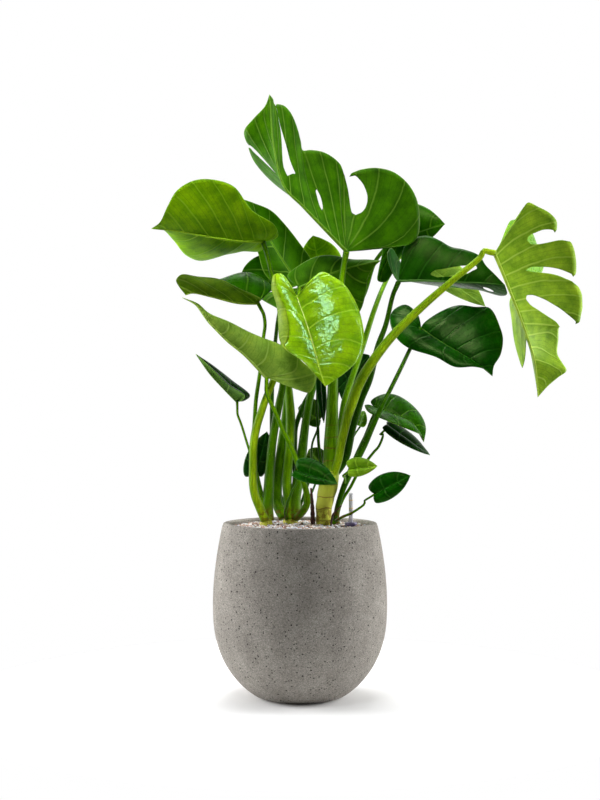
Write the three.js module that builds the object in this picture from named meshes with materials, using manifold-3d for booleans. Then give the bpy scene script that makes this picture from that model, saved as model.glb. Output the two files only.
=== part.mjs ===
// A potted monstera plant: a bellied concrete planter filled with granules, a water-level gauge, four
// groups of shoots and their leaf blades, some of them split and holed.
// Millimetres, +Z up. The origin is the centre of the pot's flat base, X to the right, Y away from the front.

import * as THREE from 'three';
import { mergeVertices } from 'three/addons/utils/BufferGeometryUtils.js';
import Module from 'manifold-3d';

const wasm = await Module();
wasm.setup();

// ---------------------------------------------------------------- driving dimensions

const POT_HEIGHT = 347;
const POT_BELLY_RADIUS = 174;
const POT_BELLY_HEIGHT = 188;
const POT_RIM_RADIUS = 154;
const POT_BASE_RADIUS = 80;
const POT_WALL = 16;
const POT_FLOOR = 20;
const POT_SIDES = 36;

const CLEARANCE = 0.3;
const GRAIN = 0.004;
const FILL_EDGE_HEIGHT = 338;
const FILL_CROWN = 6;
const GRANULE_RELIEF = 1.6;
const PLANTING_DEPTH = 60;

const GAUGE_AT = [101, -25];
const GAUGE_CAP_RADIUS = 12;
const GAUGE_CASING_RADIUS = 8;
const GAUGE_TUBE_RADIUS = 4.4;
const GAUGE_BORE_RADIUS = 2.6;
const GAUGE_ROD_RADIUS = 1.4;
const GAUGE_TOP = 408;

const BLADE_THICKNESS = 1.1;
const KNEE_LENGTH = 12;

// The front view that the places of stalks and leaves are given in.
const VIEW_DISTANCE = 2900;
const EYE_HEIGHT = 592;

// ---------------------------------------------------------------- materials

function finish(color, roughness = 0.5, metalness = 0) {
  return new THREE.MeshStandardMaterial({ color, roughness, metalness });
}

const LEAF_COLORS = {
  young: 0x78a80c,
  bright: 0x5f8a0a,
  mid: 0x446f06,
  dark: 0x164a0c,
};

// ---------------------------------------------------------------- solids

// A geometry as a closed solid, with its shared vertices merged.
function solidOf(geometry) {
  const bare = geometry.clone();
  bare.deleteAttribute('normal');
  bare.deleteAttribute('uv');
  const merged = mergeVertices(bare, 1e-4);
  return new wasm.Manifold(new wasm.Mesh({
    numProp: 3,
    vertProperties: new Float32Array(merged.attributes.position.array),
    triVerts: new Uint32Array(merged.index.array),
  }));
}

// The solid's surface as a geometry. Places are rounded to the grain, and triangles that this closes
// to a line are left out.
function geometryOf(solid) {
  const mesh = solid.getMesh();
  const corners = new Map();
  const positions = [];
  const numbers = [];
  for (let i = 0; i < mesh.vertProperties.length; i += 3) {
    const steps = [...mesh.vertProperties.slice(i, i + 3)].map((value) => Math.round(value / GRAIN));
    const key = steps.join();
    if (!corners.has(key)) {
      corners.set(key, positions.length / 3);
      positions.push(...steps.map((step) => step * GRAIN));
    }
    numbers.push(corners.get(key));
  }
  const index = [];
  for (let i = 0; i < mesh.triVerts.length; i += 3) {
    const [a, b, c] = [...mesh.triVerts.slice(i, i + 3)].map((corner) => numbers[corner]);
    if (a !== b && b !== c && a !== c) {
      index.push(a, b, c);
    }
  }
  const geometry = new THREE.BufferGeometry();
  geometry.setAttribute('position', new THREE.Float32BufferAttribute(positions, 3));
  geometry.setIndex(index);
  geometry.computeVertexNormals();
  return geometry;
}

function meshOf(name, geometry, material) {
  const mesh = new THREE.Mesh(geometry, material);
  mesh.name = name;
  return mesh;
}

// A lathe about +Z from a profile of [radius, height] pairs that starts and ends on the axis.
function lathe(profile, sides) {
  const points = profile.map(([radius, height]) => new THREE.Vector2(radius, height));
  return new THREE.LatheGeometry(points, sides).rotateX(Math.PI / 2);
}

function cylinder(radius, bottom, top, at, sides) {
  return new THREE.CylinderGeometry(radius, radius, top - bottom, sides)
    .rotateX(Math.PI / 2)
    .translate(at[0], at[1], (bottom + top) / 2);
}

// A place seen `right` and `up` in the upright plane through the pot's axis, moved `away` from the
// viewer along the line of sight.
function sighted([right, up, away]) {
  const reach = (VIEW_DISTANCE + away) / VIEW_DISTANCE;
  return new THREE.Vector3(right * reach, away, EYE_HEIGHT + (up - EYE_HEIGHT) * reach);
}

function curveThrough(points) {
  return new THREE.CatmullRomCurve3(points, false, 'centripetal');
}

// ---------------------------------------------------------------- pot, filling and gauge

// Outer radius of the pot at a height: a belly that narrows to the rim above and to the base below.
function potRadius(height) {
  if (height >= POT_BELLY_HEIGHT) {
    const rise = (height - POT_BELLY_HEIGHT) / (POT_HEIGHT - POT_BELLY_HEIGHT);
    return POT_BELLY_RADIUS - (POT_BELLY_RADIUS - POT_RIM_RADIUS) * rise ** 1.8;
  }
  const drop = (POT_BELLY_HEIGHT - height) / POT_BELLY_HEIGHT;
  return POT_BASE_RADIUS + (POT_BELLY_RADIUS - POT_BASE_RADIUS) * (1 - drop ** 2.6) ** 0.8;
}

const POT_LEVELS = [3, 12, 28, 55, 90, 130, 172, 215, 260, 305];

function pot() {
  const edge = 3;
  const profile = [[0, 0], [POT_BASE_RADIUS, 0]];
  for (const level of POT_LEVELS) {
    profile.push([potRadius(level), level]);
  }
  profile.push([POT_RIM_RADIUS, POT_HEIGHT - edge], [POT_RIM_RADIUS - edge, POT_HEIGHT]);
  profile.push([POT_RIM_RADIUS - POT_WALL + edge, POT_HEIGHT], [POT_RIM_RADIUS - POT_WALL, POT_HEIGHT - edge]);
  for (const level of innerLevels()) {
    profile.push([potRadius(level) - POT_WALL, level]);
  }
  profile.push([0, POT_FLOOR]);
  return meshOf('pot', lathe(profile, POT_SIDES), finish(0xb5b1aa, 0.9));
}

// Heights of the inner wall's rings, from the rim down to the pot's floor.
function innerLevels() {
  return [FILL_EDGE_HEIGHT, 280, POT_BELLY_HEIGHT, 110, 55, POT_FLOOR];
}

// The filling's top: a low crown with a relief of coarse granules.
function fillHeight(radius, angle) {
  const edge = POT_RIM_RADIUS - POT_WALL;
  const crown = FILL_CROWN * (1 - (radius / edge) ** 2);
  const relief = Math.sin(radius * 0.31 + 3 * Math.sin(angle * 5)) * Math.cos(angle * 17 + radius * 0.2);
  return FILL_EDGE_HEIGHT + crown + GRANULE_RELIEF * relief;
}

function filling(holes) {
  const rings = [14, 42, 74, 106];
  const profile = [[0, POT_FLOOR + CLEARANCE]];
  for (const level of innerLevels().reverse()) {
    const height = Math.min(Math.max(level, POT_FLOOR + CLEARANCE), FILL_EDGE_HEIGHT);
    profile.push([potRadius(level) - POT_WALL - CLEARANCE, height]);
  }
  for (const radius of [...rings].reverse()) {
    profile.push([radius, FILL_EDGE_HEIGHT]);
  }
  profile.push([0, FILL_EDGE_HEIGHT]);
  const body = lathe(profile, POT_SIDES);
  const place = body.attributes.position;
  for (let i = 0; i < place.count; i += 1) {
    const radius = Math.hypot(place.getX(i), place.getY(i));
    if (place.getZ(i) > FILL_EDGE_HEIGHT - 1 && radius < rings.at(-1) + 1) {
      const turn = radius < 1 ? 0 : Math.atan2(place.getY(i), place.getX(i));
      place.setZ(i, fillHeight(radius, turn));
    }
  }
  let solid = solidOf(body);
  for (const hole of holes) {
    solid = solid.subtract(solidOf(hole));
  }
  return meshOf('substrate', geometryOf(solid), finish(0xb9a79b, 0.95));
}

function gauge() {
  const foot = FILL_EDGE_HEIGHT - PLANTING_DEPTH;
  const seat = FILL_EDGE_HEIGHT + FILL_CROWN;
  const capTop = seat + 6;
  const [x, y] = GAUGE_AT;
  const bore = GAUGE_TUBE_RADIUS + CLEARANCE;
  const casing = lathe([
    [0, foot], [GAUGE_CASING_RADIUS, foot], [GAUGE_CASING_RADIUS, seat], [GAUGE_CAP_RADIUS, seat],
    [GAUGE_CAP_RADIUS, seat + 4], [GAUGE_CAP_RADIUS - 3, capTop], [bore, capTop], [bore, foot + 6],
    [0, foot + 6],
  ], 14).translate(x, y, 0);
  const tubeFoot = foot + 6 + CLEARANCE;
  const tube = lathe([
    [GAUGE_BORE_RADIUS, tubeFoot], [GAUGE_TUBE_RADIUS, tubeFoot], [GAUGE_TUBE_RADIUS, GAUGE_TOP - 1.5],
    [GAUGE_TUBE_RADIUS - 1.5, GAUGE_TOP], [0, GAUGE_TOP], [0, GAUGE_TOP - 2], [GAUGE_BORE_RADIUS, GAUGE_TOP - 3],
    [GAUGE_BORE_RADIUS, tubeFoot],
  ], 10).translate(x, y, 0);
  const rod = cylinder(GAUGE_ROD_RADIUS, tubeFoot, capTop + 10, GAUGE_AT, 8);
  return [
    meshOf('gauge_casing', casing, finish(0x2c2836, 0.35)),
    meshOf('gauge_tube', tube, finish(0xe9e9ee, 0.1)),
    meshOf('gauge_rod', rod, finish(0xc8324a, 0.5)),
  ];
}

// The plain hole that the gauge's casing stands in.
function gaugeHole() {
  const top = FILL_EDGE_HEIGHT + 20;
  const bottom = FILL_EDGE_HEIGHT - PLANTING_DEPTH - CLEARANCE;
  return cylinder(GAUGE_CASING_RADIUS + CLEARANCE, bottom, top, GAUGE_AT, 20);
}

// ---------------------------------------------------------------- stalks

// A tapered round stalk along a smooth curve through `points`, closed at both ends.
function stalkGeometry(points, radii, sides) {
  const curve = curveThrough(points);
  const steps = Math.max(2, Math.ceil(curve.getLength() / 55));
  const frames = curve.computeFrenetFrames(steps, false);
  const thickness = curveThrough(radii.map((radius, i) => new THREE.Vector3(i, radius, 0)));
  const positions = [];
  const faces = [];
  for (let step = 0; step <= steps; step += 1) {
    const middle = curve.getPointAt(step / steps);
    const radius = thickness.getPoint(step / steps).y;
    for (let side = 0; side < sides; side += 1) {
      const turn = (side / sides) * 2 * Math.PI;
      const place = middle.clone()
        .addScaledVector(frames.normals[step], radius * Math.cos(turn))
        .addScaledVector(frames.binormals[step], radius * Math.sin(turn));
      positions.push(...place.toArray());
    }
  }
  for (let step = 0; step < steps; step += 1) {
    for (let side = 0; side < sides; side += 1) {
      const a = step * sides + side;
      const b = step * sides + ((side + 1) % sides);
      faces.push(a, b, a + sides, b, b + sides, a + sides);
    }
  }
  const last = steps * sides;
  for (let side = 1; side < sides - 1; side += 1) {
    faces.push(0, side + 1, side, last, last + side, last + side + 1);
  }
  const geometry = new THREE.BufferGeometry();
  geometry.setAttribute('position', new THREE.Float32BufferAttribute(positions, 3));
  geometry.setIndex(faces);
  return geometry;
}

// The direction in which a leaf's stalk leaves the leaf, towards the last place of its route.
function stalkDirection(leaf, route) {
  return route.at(-1).clone().sub(sighted(leaf.rib[0])).normalize();
}

// The stalk of a leaf: its route, then straight on to the end face of the leaf's knee.
function leafStalk(stalk) {
  const route = stalk.route.map(sighted);
  if (stalk.leaf) {
    const leaf = LEAVES[stalk.leaf];
    const foot = sighted(leaf.rib[0]);
    const out = stalkDirection(leaf, route);
    const end = foot.clone().addScaledVector(out, KNEE_LENGTH + 0.5);
    const near = foot.clone().addScaledVector(out, KNEE_LENGTH + 14);
    if (route.at(-1).distanceTo(foot) < KNEE_LENGTH + 30) {
      route.pop();
    }
    route.push(near, end);
  }
  return stalkGeometry(route, stalk.radii, stalk.radii[0] > 6 ? 7 : 6);
}

// A shoot: its stalks joined with the plain crown that stands in the filling.
function shoot(name, plan) {
  const [right, away, radius] = plan.crown;
  const bottom = FILL_EDGE_HEIGHT - PLANTING_DEPTH;
  let solid = solidOf(cylinder(radius, bottom, FILL_EDGE_HEIGHT + 22, [right, away], 12));
  for (const stalk of plan.stalks) {
    solid = solid.add(solidOf(leafStalk(stalk)));
  }
  return meshOf(name, geometryOf(solid), finish(plan.color, 0.45));
}

function crownHole(plan) {
  const [right, away, radius] = plan.crown;
  const bottom = FILL_EDGE_HEIGHT - PLANTING_DEPTH - CLEARANCE;
  return cylinder(radius + 2 * CLEARANCE, bottom, FILL_EDGE_HEIGHT + 20, [right, away], 16);
}

// ---------------------------------------------------------------- leaf blades

// The edge of a slit or hole on the side before or after it, as a place along the margin. The edge is a
// line of [v, u] points that leaves the vein `at` where v passes `from`.
function slitEdge(slit, side, v) {
  const line = [[slit.from, slit.at], ...slit[side]];
  if (v <= slit.from) {
    return slit.at;
  }
  const next = line.findIndex((point) => point[0] >= v);
  if (next < 0) {
    return line.at(-1)[1];
  }
  const [start, end] = [line[next - 1], line[next]];
  return start[1] + ((end[1] - start[1]) * (v - start[0])) / (end[0] - start[0]);
}

// An oval hole about the vein `at`.
function oval(at, from, to, reach) {
  const share = [[0.2, 0.8], [0.5, 1], [0.8, 0.8], [1, 0]];
  const side = (sign) => share.map(([t, out]) => [from + (to - from) * t, at + sign * reach * out]);
  return { at, from, before: side(-1), after: side(1) };
}

// The lobes of one half of a blade, with the slits or holes on either side. Every lobe is bounded by two
// veins that the slits push apart.
function lobesOf(half) {
  const slits = half.slits ?? [];
  const bounds = [0, ...slits.map((slit) => slit.at), 1];
  const lobes = [];
  for (let i = 0; i < bounds.length - 1; i += 1) {
    const share = bounds[i + 1] - bounds[i];
    const columns = Math.max(2, Math.round(share * half.columns));
    lobes.push({ start: bounds[i], end: bounds[i + 1], before: slits[i - 1], after: slits[i], columns });
  }
  return lobes;
}

function rowsOf(half) {
  const rows = new Set(half.rows);
  for (const slit of half.slits ?? []) {
    rows.add(slit.from);
    rows.add(slit.before.at(-1)[0]);
  }
  return [...rows].sort((a, b) => a - b);
}

// How far along the midrib the vein at `u` starts. The veins of the base lobe fan out from the stalk.
function ribShare(half, u) {
  return Math.max(0, (u - half.fan) / (1 - half.fan)) ** half.sweep;
}

// A point of one half of a blade: `u` runs round the margin from the stalk to the tip, `v` along a
// lateral vein from the midrib to the margin.
function bladePoint(leaf, half, u, v) {
  const root = leaf.ribCurve.getPoint(ribShare(half, u));
  const end = half.curve.getPoint(u);
  const point = root.clone().lerp(end, v);
  const arch = half.arch * 4 * v * (1 - v) * Math.sin(Math.PI * Math.min(1, u * 1.15)) ** 0.7;
  return point.addScaledVector(half.normal, arch);
}

function prepareHalf(leaf, points, options, sign) {
  const places = [leaf.rib[0], ...points, leaf.rib.at(-1)].map(sighted);
  const half = {
    columns: 6, rows: [0, 0.55, 1], fan: 0.3, sweep: 1, arch: 6, ...options, curve: curveThrough(places),
  };
  const foot = leaf.ribCurve.getPoint(0);
  const tip = leaf.ribCurve.getPoint(1);
  const widest = half.curve.getPoint(0.45);
  const across = widest.sub(foot);
  half.normal = across.cross(tip.sub(foot)).multiplyScalar(sign).normalize();
  return half;
}

// Triangles between the midrib and a half's first row, which have different numbers of places.
function joinLines(rib, inner, triangle) {
  let i = 0;
  let j = 0;
  while (i < rib.length - 1 || j < inner.length - 1) {
    const ribNext = i < rib.length - 1 ? rib[i + 1].share : Infinity;
    const innerNext = j < inner.length - 1 ? inner[j + 1].share : Infinity;
    if (innerNext <= ribNext) {
      triangle(rib[i].number, inner[j].number, inner[j + 1].number);
      j += 1;
    } else {
      triangle(rib[i].number, inner[j].number, rib[i + 1].number);
      i += 1;
    }
  }
}

// The open sheet of a blade, as places and triangles, before it gets its thickness. Triangles face the
// leaf's upper side.
function bladeSheet(leaf) {
  const keys = new Map();
  const places = [];
  const faces = [];
  const ribbed = [];
  const corner = (point, onRib) => {
    const key = point.toArray().map((value) => Math.round(value * 50)).join();
    if (!keys.has(key)) {
      keys.set(key, places.length);
      places.push(point);
      ribbed.push(onRib);
    }
    return keys.get(key);
  };
  const triangle = (a, b, c) => {
    if (a !== b && b !== c && a !== c) {
      faces.push([a, b, c]);
    }
  };
  const rib = [];
  for (let step = 0; step <= leaf.ribSteps; step += 1) {
    const share = step / leaf.ribSteps;
    rib.push({ share, number: corner(leaf.ribCurve.getPoint(share), true) });
  }
  for (const [half, mirrored] of [[leaf.leftHalf, true], [leaf.rightHalf, false]]) {
    const turned = (a, b, c) => (mirrored ? triangle(a, c, b) : triangle(a, b, c));
    const rows = rowsOf(half).slice(1);
    const inner = [];
    for (const lobe of lobesOf(half)) {
      const grid = [];
      for (let column = 0; column <= lobe.columns; column += 1) {
        const line = rows.map((v) => {
          const start = lobe.before ? slitEdge(lobe.before, 'after', v) : lobe.start;
          const end = lobe.after ? slitEdge(lobe.after, 'before', v) : lobe.end;
          const u = start + ((end - start) * column) / lobe.columns;
          return { u, number: corner(bladePoint(leaf, half, u, v), false) };
        });
        inner.push({ share: ribShare(half, line[0].u), number: line[0].number });
        grid.push(line.map((place) => place.number));
      }
      for (let column = 0; column < lobe.columns; column += 1) {
        for (let row = 0; row < rows.length - 1; row += 1) {
          const [a, b] = [grid[column][row], grid[column + 1][row]];
          const [c, d] = [grid[column][row + 1], grid[column + 1][row + 1]];
          turned(a, c, b);
          turned(b, c, d);
        }
      }
    }
    joinLines(rib, inner, turned);
  }
  return { places, faces, ribbed };
}

// The sheet as a thin solid: both faces triangulated alike, walls round its open edges, and the
// midrib as a keel under it.
function bladeGeometry(leaf) {
  const { places, faces, ribbed } = bladeSheet(leaf);
  const normals = places.map(() => new THREE.Vector3());
  const edges = new Map();
  for (const [a, b, c] of faces) {
    const facing = places[b].clone().sub(places[a]).cross(places[c].clone().sub(places[a])).normalize();
    for (const [at, one, other] of [[a, b, c], [b, c, a], [c, a, b]]) {
      const angle = places[one].clone().sub(places[at]).angleTo(places[other].clone().sub(places[at]));
      normals[at].addScaledVector(facing, angle);
    }
    for (const [from, to] of [[a, b], [b, c], [c, a]]) {
      if (!edges.delete(`${to}_${from}`)) {
        edges.set(`${from}_${to}`, [from, to]);
      }
    }
  }
  const foot = places[0];
  const reach = leaf.ribCurve.getPoint(1).distanceTo(foot);
  const top = [];
  const bottom = [];
  places.forEach((place, i) => {
    const normal = normals[i].normalize();
    const keel = ribbed[i] ? leaf.keel * Math.max(0, 1 - place.distanceTo(foot) / reach) : 0;
    top.push(place.clone().addScaledVector(normal, BLADE_THICKNESS / 2));
    bottom.push(place.clone().addScaledVector(normal, -BLADE_THICKNESS / 2 - keel));
  });
  const count = places.length;
  const index = [];
  for (const [a, b, c] of faces) {
    index.push(a, b, c, count + a, count + c, count + b);
  }
  for (const [from, to] of edges.values()) {
    index.push(from, count + to, to, from, count + from, count + to);
  }
  const geometry = new THREE.BufferGeometry();
  const positions = [...top, ...bottom].flatMap((place) => place.toArray());
  geometry.setAttribute('position', new THREE.Float32BufferAttribute(positions, 3));
  geometry.setIndex(index);
  return geometry;
}

// The knee: the short swollen end of the stalk that belongs to the blade.
function kneeGeometry(leaf, out) {
  const foot = sighted(leaf.rib[0]);
  const inner = foot.clone().lerp(sighted(leaf.rib[1]), 0.06).addScaledVector(out, -0.5);
  const outer = foot.clone().addScaledVector(out, KNEE_LENGTH);
  return stalkGeometry([inner, foot, outer], [leaf.knee, leaf.knee, leaf.knee], 5);
}

function prepareLeaf(leaf) {
  leaf.ribCurve = curveThrough(leaf.rib.map(sighted));
  leaf.keel = leaf.keel ?? 2;
  leaf.knee = leaf.knee ?? 2.4;
  leaf.ribSteps = leaf.ribSteps ?? 4 + 2 * (leaf.rib.length - 3);
  leaf.leftHalf = prepareHalf(leaf, leaf.left, leaf.leftOptions, -1);
  leaf.rightHalf = prepareHalf(leaf, leaf.right, leaf.rightOptions, 1);
}

function blade(name, leaf, route) {
  prepareLeaf(leaf);
  const out = stalkDirection(leaf, route.map(sighted));
  const solid = solidOf(bladeGeometry(leaf)).add(solidOf(kneeGeometry(leaf, out)));
  return meshOf(name, geometryOf(solid), finish(LEAF_COLORS[leaf.color], 0.4));
}

// A heart-shaped small leaf from its stalk end, its tip and its widest point on either side.
function heart(foot, tip, left, right) {
  const share = [[-0.1, 0.3], [-0.14, 0.68], [0.02, 0.95], [0.3, 1], [0.6, 0.78], [0.85, 0.36]];
  const side = (widest) => share.map(([along, out]) => foot.map((start, axis) => {
    const length = tip[axis] - start;
    const width = widest[axis] - start - 0.3 * length;
    return start + length * along + width * out;
  }));
  const middle = foot.map((start, axis) => start + (tip[axis] - start) * 0.5);
  return { rib: [foot, middle, tip], left: side(left), right: side(right) };
}

// ---------------------------------------------------------------- leaves
// Each place is [right, up, away] in the front view, in mm. A blade is given by its midrib from the
// stalk to the tip and by its left and right margins from the sinus round the base lobe to the tip, as
// seen on its upper side with the tip pointing away.

const BIG = { columns: 10, rows: [0, 0.33, 0.67, 1] };

const LEAVES = {
  leaf_crown_split: {
    color: 'mid', keel: 3, knee: 5, ribSteps: 16,
    rib: [[93, 889, -40], [55, 928, -50], [6, 979, -60], [-31, 1018, -62], [-52, 1097, -60], [-61, 1203, -50]],
    left: [
      [145, 896, -20], [230, 910, 10], [238, 975, 20], [222, 1018, 18], [190, 1047, 15], [154, 1056, 10],
      [123, 1053, 6], [99, 1046, 4], [88, 1051, 2], [81, 1064, 0], [66, 1077, -2], [44, 1088, -5],
      [20, 1092, -9], [6, 1092, -12], [2, 1110, -14], [-6, 1138, -16], [-18, 1165, -20], [-31, 1180, -26],
      [-44, 1184, -34], [-51, 1184, -38], [-54, 1194, -44],
    ],
    leftOptions: {
      columns: 20, rows: [0, 0.2, 0.3, 0.37, 0.45, 0.55, 0.7, 0.85, 1], fan: 0.42, sweep: 1.4, arch: 10,
      slits: [
        {
          at: 0.286, from: 0.45,
          before: [[0.48, 0.262], [0.52, 0.254], [0.59, 0.254], [0.67, 0.263], [0.75, 0.28], [0.85, 0.306],
            [0.95, 0.339], [1, 0.362]],
          after: [[0.48, 0.31], [0.55, 0.327], [0.7, 0.346], [0.84, 0.364], [0.92, 0.386], [1, 0.41]],
        },
        {
          at: 0.588, from: 0.3,
          before: [[0.34, 0.579], [0.38, 0.575], [0.48, 0.576], [0.55, 0.588]],
          after: [[0.34, 0.596], [0.45, 0.598], [0.53, 0.596], [0.55, 0.588]],
        },
        {
          at: 0.8, from: 0.2,
          before: [[0.3, 0.768], [0.36, 0.748], [0.39, 0.762], [0.44, 0.779], [0.53, 0.797], [0.62, 0.819],
            [0.71, 0.842], [0.81, 0.861], [1, 0.891]],
          after: [[0.24, 0.823], [0.37, 0.831], [0.52, 0.835], [0.68, 0.845], [0.8, 0.864], [1, 0.894]],
        },
      ],
    },
    right: [
      [115, 925, 40], [66, 956, 90], [2, 986, 90], [-48, 1022, 60], [-92, 1070, 16], [-106, 1102, -20],
      [-111, 1130, -35], [-92, 1156, -45], [-70, 1180, -48],
    ],
    rightOptions: {
      columns: 10, fan: 0.25, arch: 8,
      slits: [{
        at: 0.6, from: 0.35,
        before: [[0.42, 0.588], [0.55, 0.58], [0.74, 0.576], [0.9, 0.58], [1, 0.592]],
        after: [[0.42, 0.617], [0.55, 0.631], [0.74, 0.636], [0.9, 0.63], [1, 0.612]],
      }],
    },
  },
  leaf_left_round: {
    color: 'mid', keel: 3.5, knee: 4.2,
    rib: [[-74, 910, -5], [-112, 910, -20], [-165, 916, -40], [-247, 930, -55], [-297, 935, -60]],
    left: [
      [-45, 918, -15], [-51, 942, -40], [-96, 971, -70], [-133, 1020, -95], [-178, 1034, -105],
      [-214, 1030, -105], [-247, 1010, -100], [-265, 980, -90], [-280, 948, -75],
    ],
    leftOptions: { ...BIG, columns: 12, fan: 0.25, arch: -10 },
    right: [
      [-78, 890, 25], [-119, 890, 45], [-157, 881, 50], [-198, 869, 45], [-227, 881, 25],
      [-253, 912, -15], [-277, 934, -50],
    ],
    rightOptions: { ...BIG, fan: 0.25, arch: -8 },
  },
  leaf_left_back: {
    color: 'mid', keel: 2.5, knee: 3.6,
    rib: [[-1, 822, 95], [-40, 880, 90], [-80, 945, 75], [-112, 993, 60]],
    left: [[26, 832, 110], [24, 870, 120], [0, 906, 115], [-33, 946, 100], [-60, 972, 85], [-92, 986, 70]],
    right: [[-28, 815, 105], [-68, 842, 115], [-84, 884, 110], [-98, 946, 85]],
    leftOptions: {}, rightOptions: {},
  },
  leaf_crown_back: {
    color: 'bright', knee: 3,
    ...heart([42, 838, 150], [26, 921, 130], [2, 868, 140], [82, 880, 150]),
  },
  leaf_left_folded: {
    color: 'bright', keel: 3, knee: 3.4,
    rib: [[-84, 786, -15], [-125, 787, -38], [-177, 799, -62], [-215, 806, -76], [-229, 802, -80]],
    left: [
      [-80, 796, -32], [-122, 815, -62], [-161, 833, -90], [-205, 839, -106], [-237, 844, -104],
      [-248, 832, -95], [-243, 820, -88],
    ],
    leftOptions: { arch: 5 },
    right: [
      [-72, 797, 2], [-56, 819, 22], [-84, 841, 32], [-112, 847, 36], [-161, 834, 20], [-200, 822, -10],
      [-222, 811, -55],
    ],
    rightOptions: { arch: 6 },
  },
  leaf_left_dark: {
    color: 'dark', knee: 3,
    ...heart([-40, 872, 150], [-82, 795, 150], [-116, 848, 140], [-22, 845, 160]),
  },
  leaf_middle_wide: {
    color: 'mid', keel: 3, knee: 4,
    rib: [[-1, 816, 30], [45, 838, 30], [105, 858, 20], [162, 871, 5]],
    left: [
      [-42, 812, 60], [-80, 798, 80], [-49, 777, 70], [0, 752, 50], [60, 738, 35], [116, 764, 30],
      [132, 808, 25], [136, 838, 20], [150, 860, 12],
    ],
    right: [
      [-25, 840, 45], [2, 863, 50], [35, 879, 50], [63, 882, 45], [104, 874, 35], [136, 873, 20],
    ],
    leftOptions: { ...BIG, arch: -8 }, rightOptions: { arch: -6 },
  },
  leaf_front_young: {
    color: 'young', keel: 3, knee: 4.4,
    rib: [[-6, 797, -112], [14, 742, -132], [30, 689, -146], [41, 648, -152], [51, 619, -152]],
    left: [
      [6, 812, -118], [32, 842, -112], [46, 848, -110], [67, 838, -108], [88, 824, -108], [108, 795, -110],
      [122, 759, -114], [128, 710, -120], [116, 673, -130], [92, 648, -138], [70, 632, -146],
    ],
    leftOptions: { ...BIG, columns: 12, fan: 0.3, arch: 12 },
    right: [
      [-18, 822, -112], [-38, 845, -104], [-53, 842, -98], [-57, 815, -98], [-47, 783, -104], [-43, 742, -110],
      [-41, 712, -116], [-28, 692, -124], [6, 669, -136], [30, 642, -146],
    ],
    rightOptions: { ...BIG, fan: 0.3, arch: 10 },
  },
  leaf_left_long: {
    color: 'mid', keel: 3, knee: 3.6,
    rib: [[-67, 637, -66], [-110, 682, -84], [-148, 713, -98], [-184, 751, -108], [-208, 782, -114], [-235, 797, -118]],
    left: [
      [-34, 628, -66], [2, 610, -68], [20, 607, -66], [33, 642, -62], [18, 657, -62], [-36, 701, -66],
      [-78, 718, -72], [-103, 729, -80], [-142, 749, -92], [-182, 766, -104], [-204, 785, -112],
    ],
    leftOptions: { ...BIG, columns: 11, fan: 0.45, arch: -7 },
    right: [[-72, 640, -40], [-108, 684, -26], [-148, 716, -44], [-186, 754, -78], [-212, 786, -106]],
    rightOptions: { columns: 7, arch: -4 },
  },
  leaf_left_small: {
    color: 'dark', knee: 2.4,
    rib: [[-126, 589, -40], [-150, 613, -52], [-180, 645, -66], [-208, 684, -72]],
    left: [[-118, 590, -56], [-110, 600, -70], [-142, 620, -84], [-174, 652, -86], [-196, 674, -80]],
    right: [[-112, 590, -26], [-99, 602, -14], [-135, 632, -18], [-166, 655, -40], [-190, 672, -60]],
    leftOptions: { columns: 6 }, rightOptions: { columns: 6 },
  },
  leaf_low_left: {
    color: 'dark', knee: 2.2,
    ...heart([-88, 446, 34], [-66, 529, 40], [-109, 478, 30], [-58, 478, 48]),
  },
  leaf_right_split: {
    color: 'bright', keel: 4, knee: 5,
    rib: [[390, 886, -60], [406, 848, -66], [425, 800, -72], [441, 759, -76], [457, 714, -76], [470, 669, -70],
      [476, 598, -55]],
    right: [
      [415, 925, -45], [433, 952, -38], [446, 975, -30], [456, 987, -25], [475, 979, -20], [500, 966, -15],
      [514, 950, -12], [516, 930, -12], [538, 913, -12], [547, 895, -12], [552, 869, -12], [553, 840, -12],
      [556, 823, -12], [563, 807, -12], [566, 787, -13], [562, 764, -15], [556, 744, -18], [536, 741, -22],
      [520, 738, -26], [517, 713, -30], [515, 684, -34], [524, 667, -38], [533, 651, -42], [516, 637, -46],
      [496, 620, -50],
    ],
    rightOptions: {
      columns: 22, rows: [0, 0.19, 0.31, 0.42, 0.52, 0.65, 0.8, 1], fan: 0.2, arch: 8,
      slits: [
        {
          at: 0.265, from: 0.52,
          before: [[0.55, 0.255], [0.6, 0.252], [0.68, 0.258], [0.78, 0.266], [0.9, 0.286], [1, 0.307]],
          after: [[0.55, 0.285], [0.66, 0.308], [0.77, 0.321], [0.9, 0.333], [1, 0.348]],
        },
        {
          at: 0.38, from: 0.31,
          before: [[0.39, 0.377], [0.52, 0.393], [0.66, 0.411], [0.78, 0.428], [0.9, 0.446], [1, 0.461]],
          after: [[0.35, 0.389], [0.42, 0.402], [0.52, 0.415], [0.64, 0.43], [0.77, 0.447], [0.9, 0.47], [1, 0.499]],
        },
        {
          at: 0.506, from: 0.19,
          before: [[0.22, 0.488], [0.31, 0.491], [0.43, 0.521], [0.57, 0.564], [0.74, 0.603], [0.86, 0.626],
            [1, 0.654]],
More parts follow.
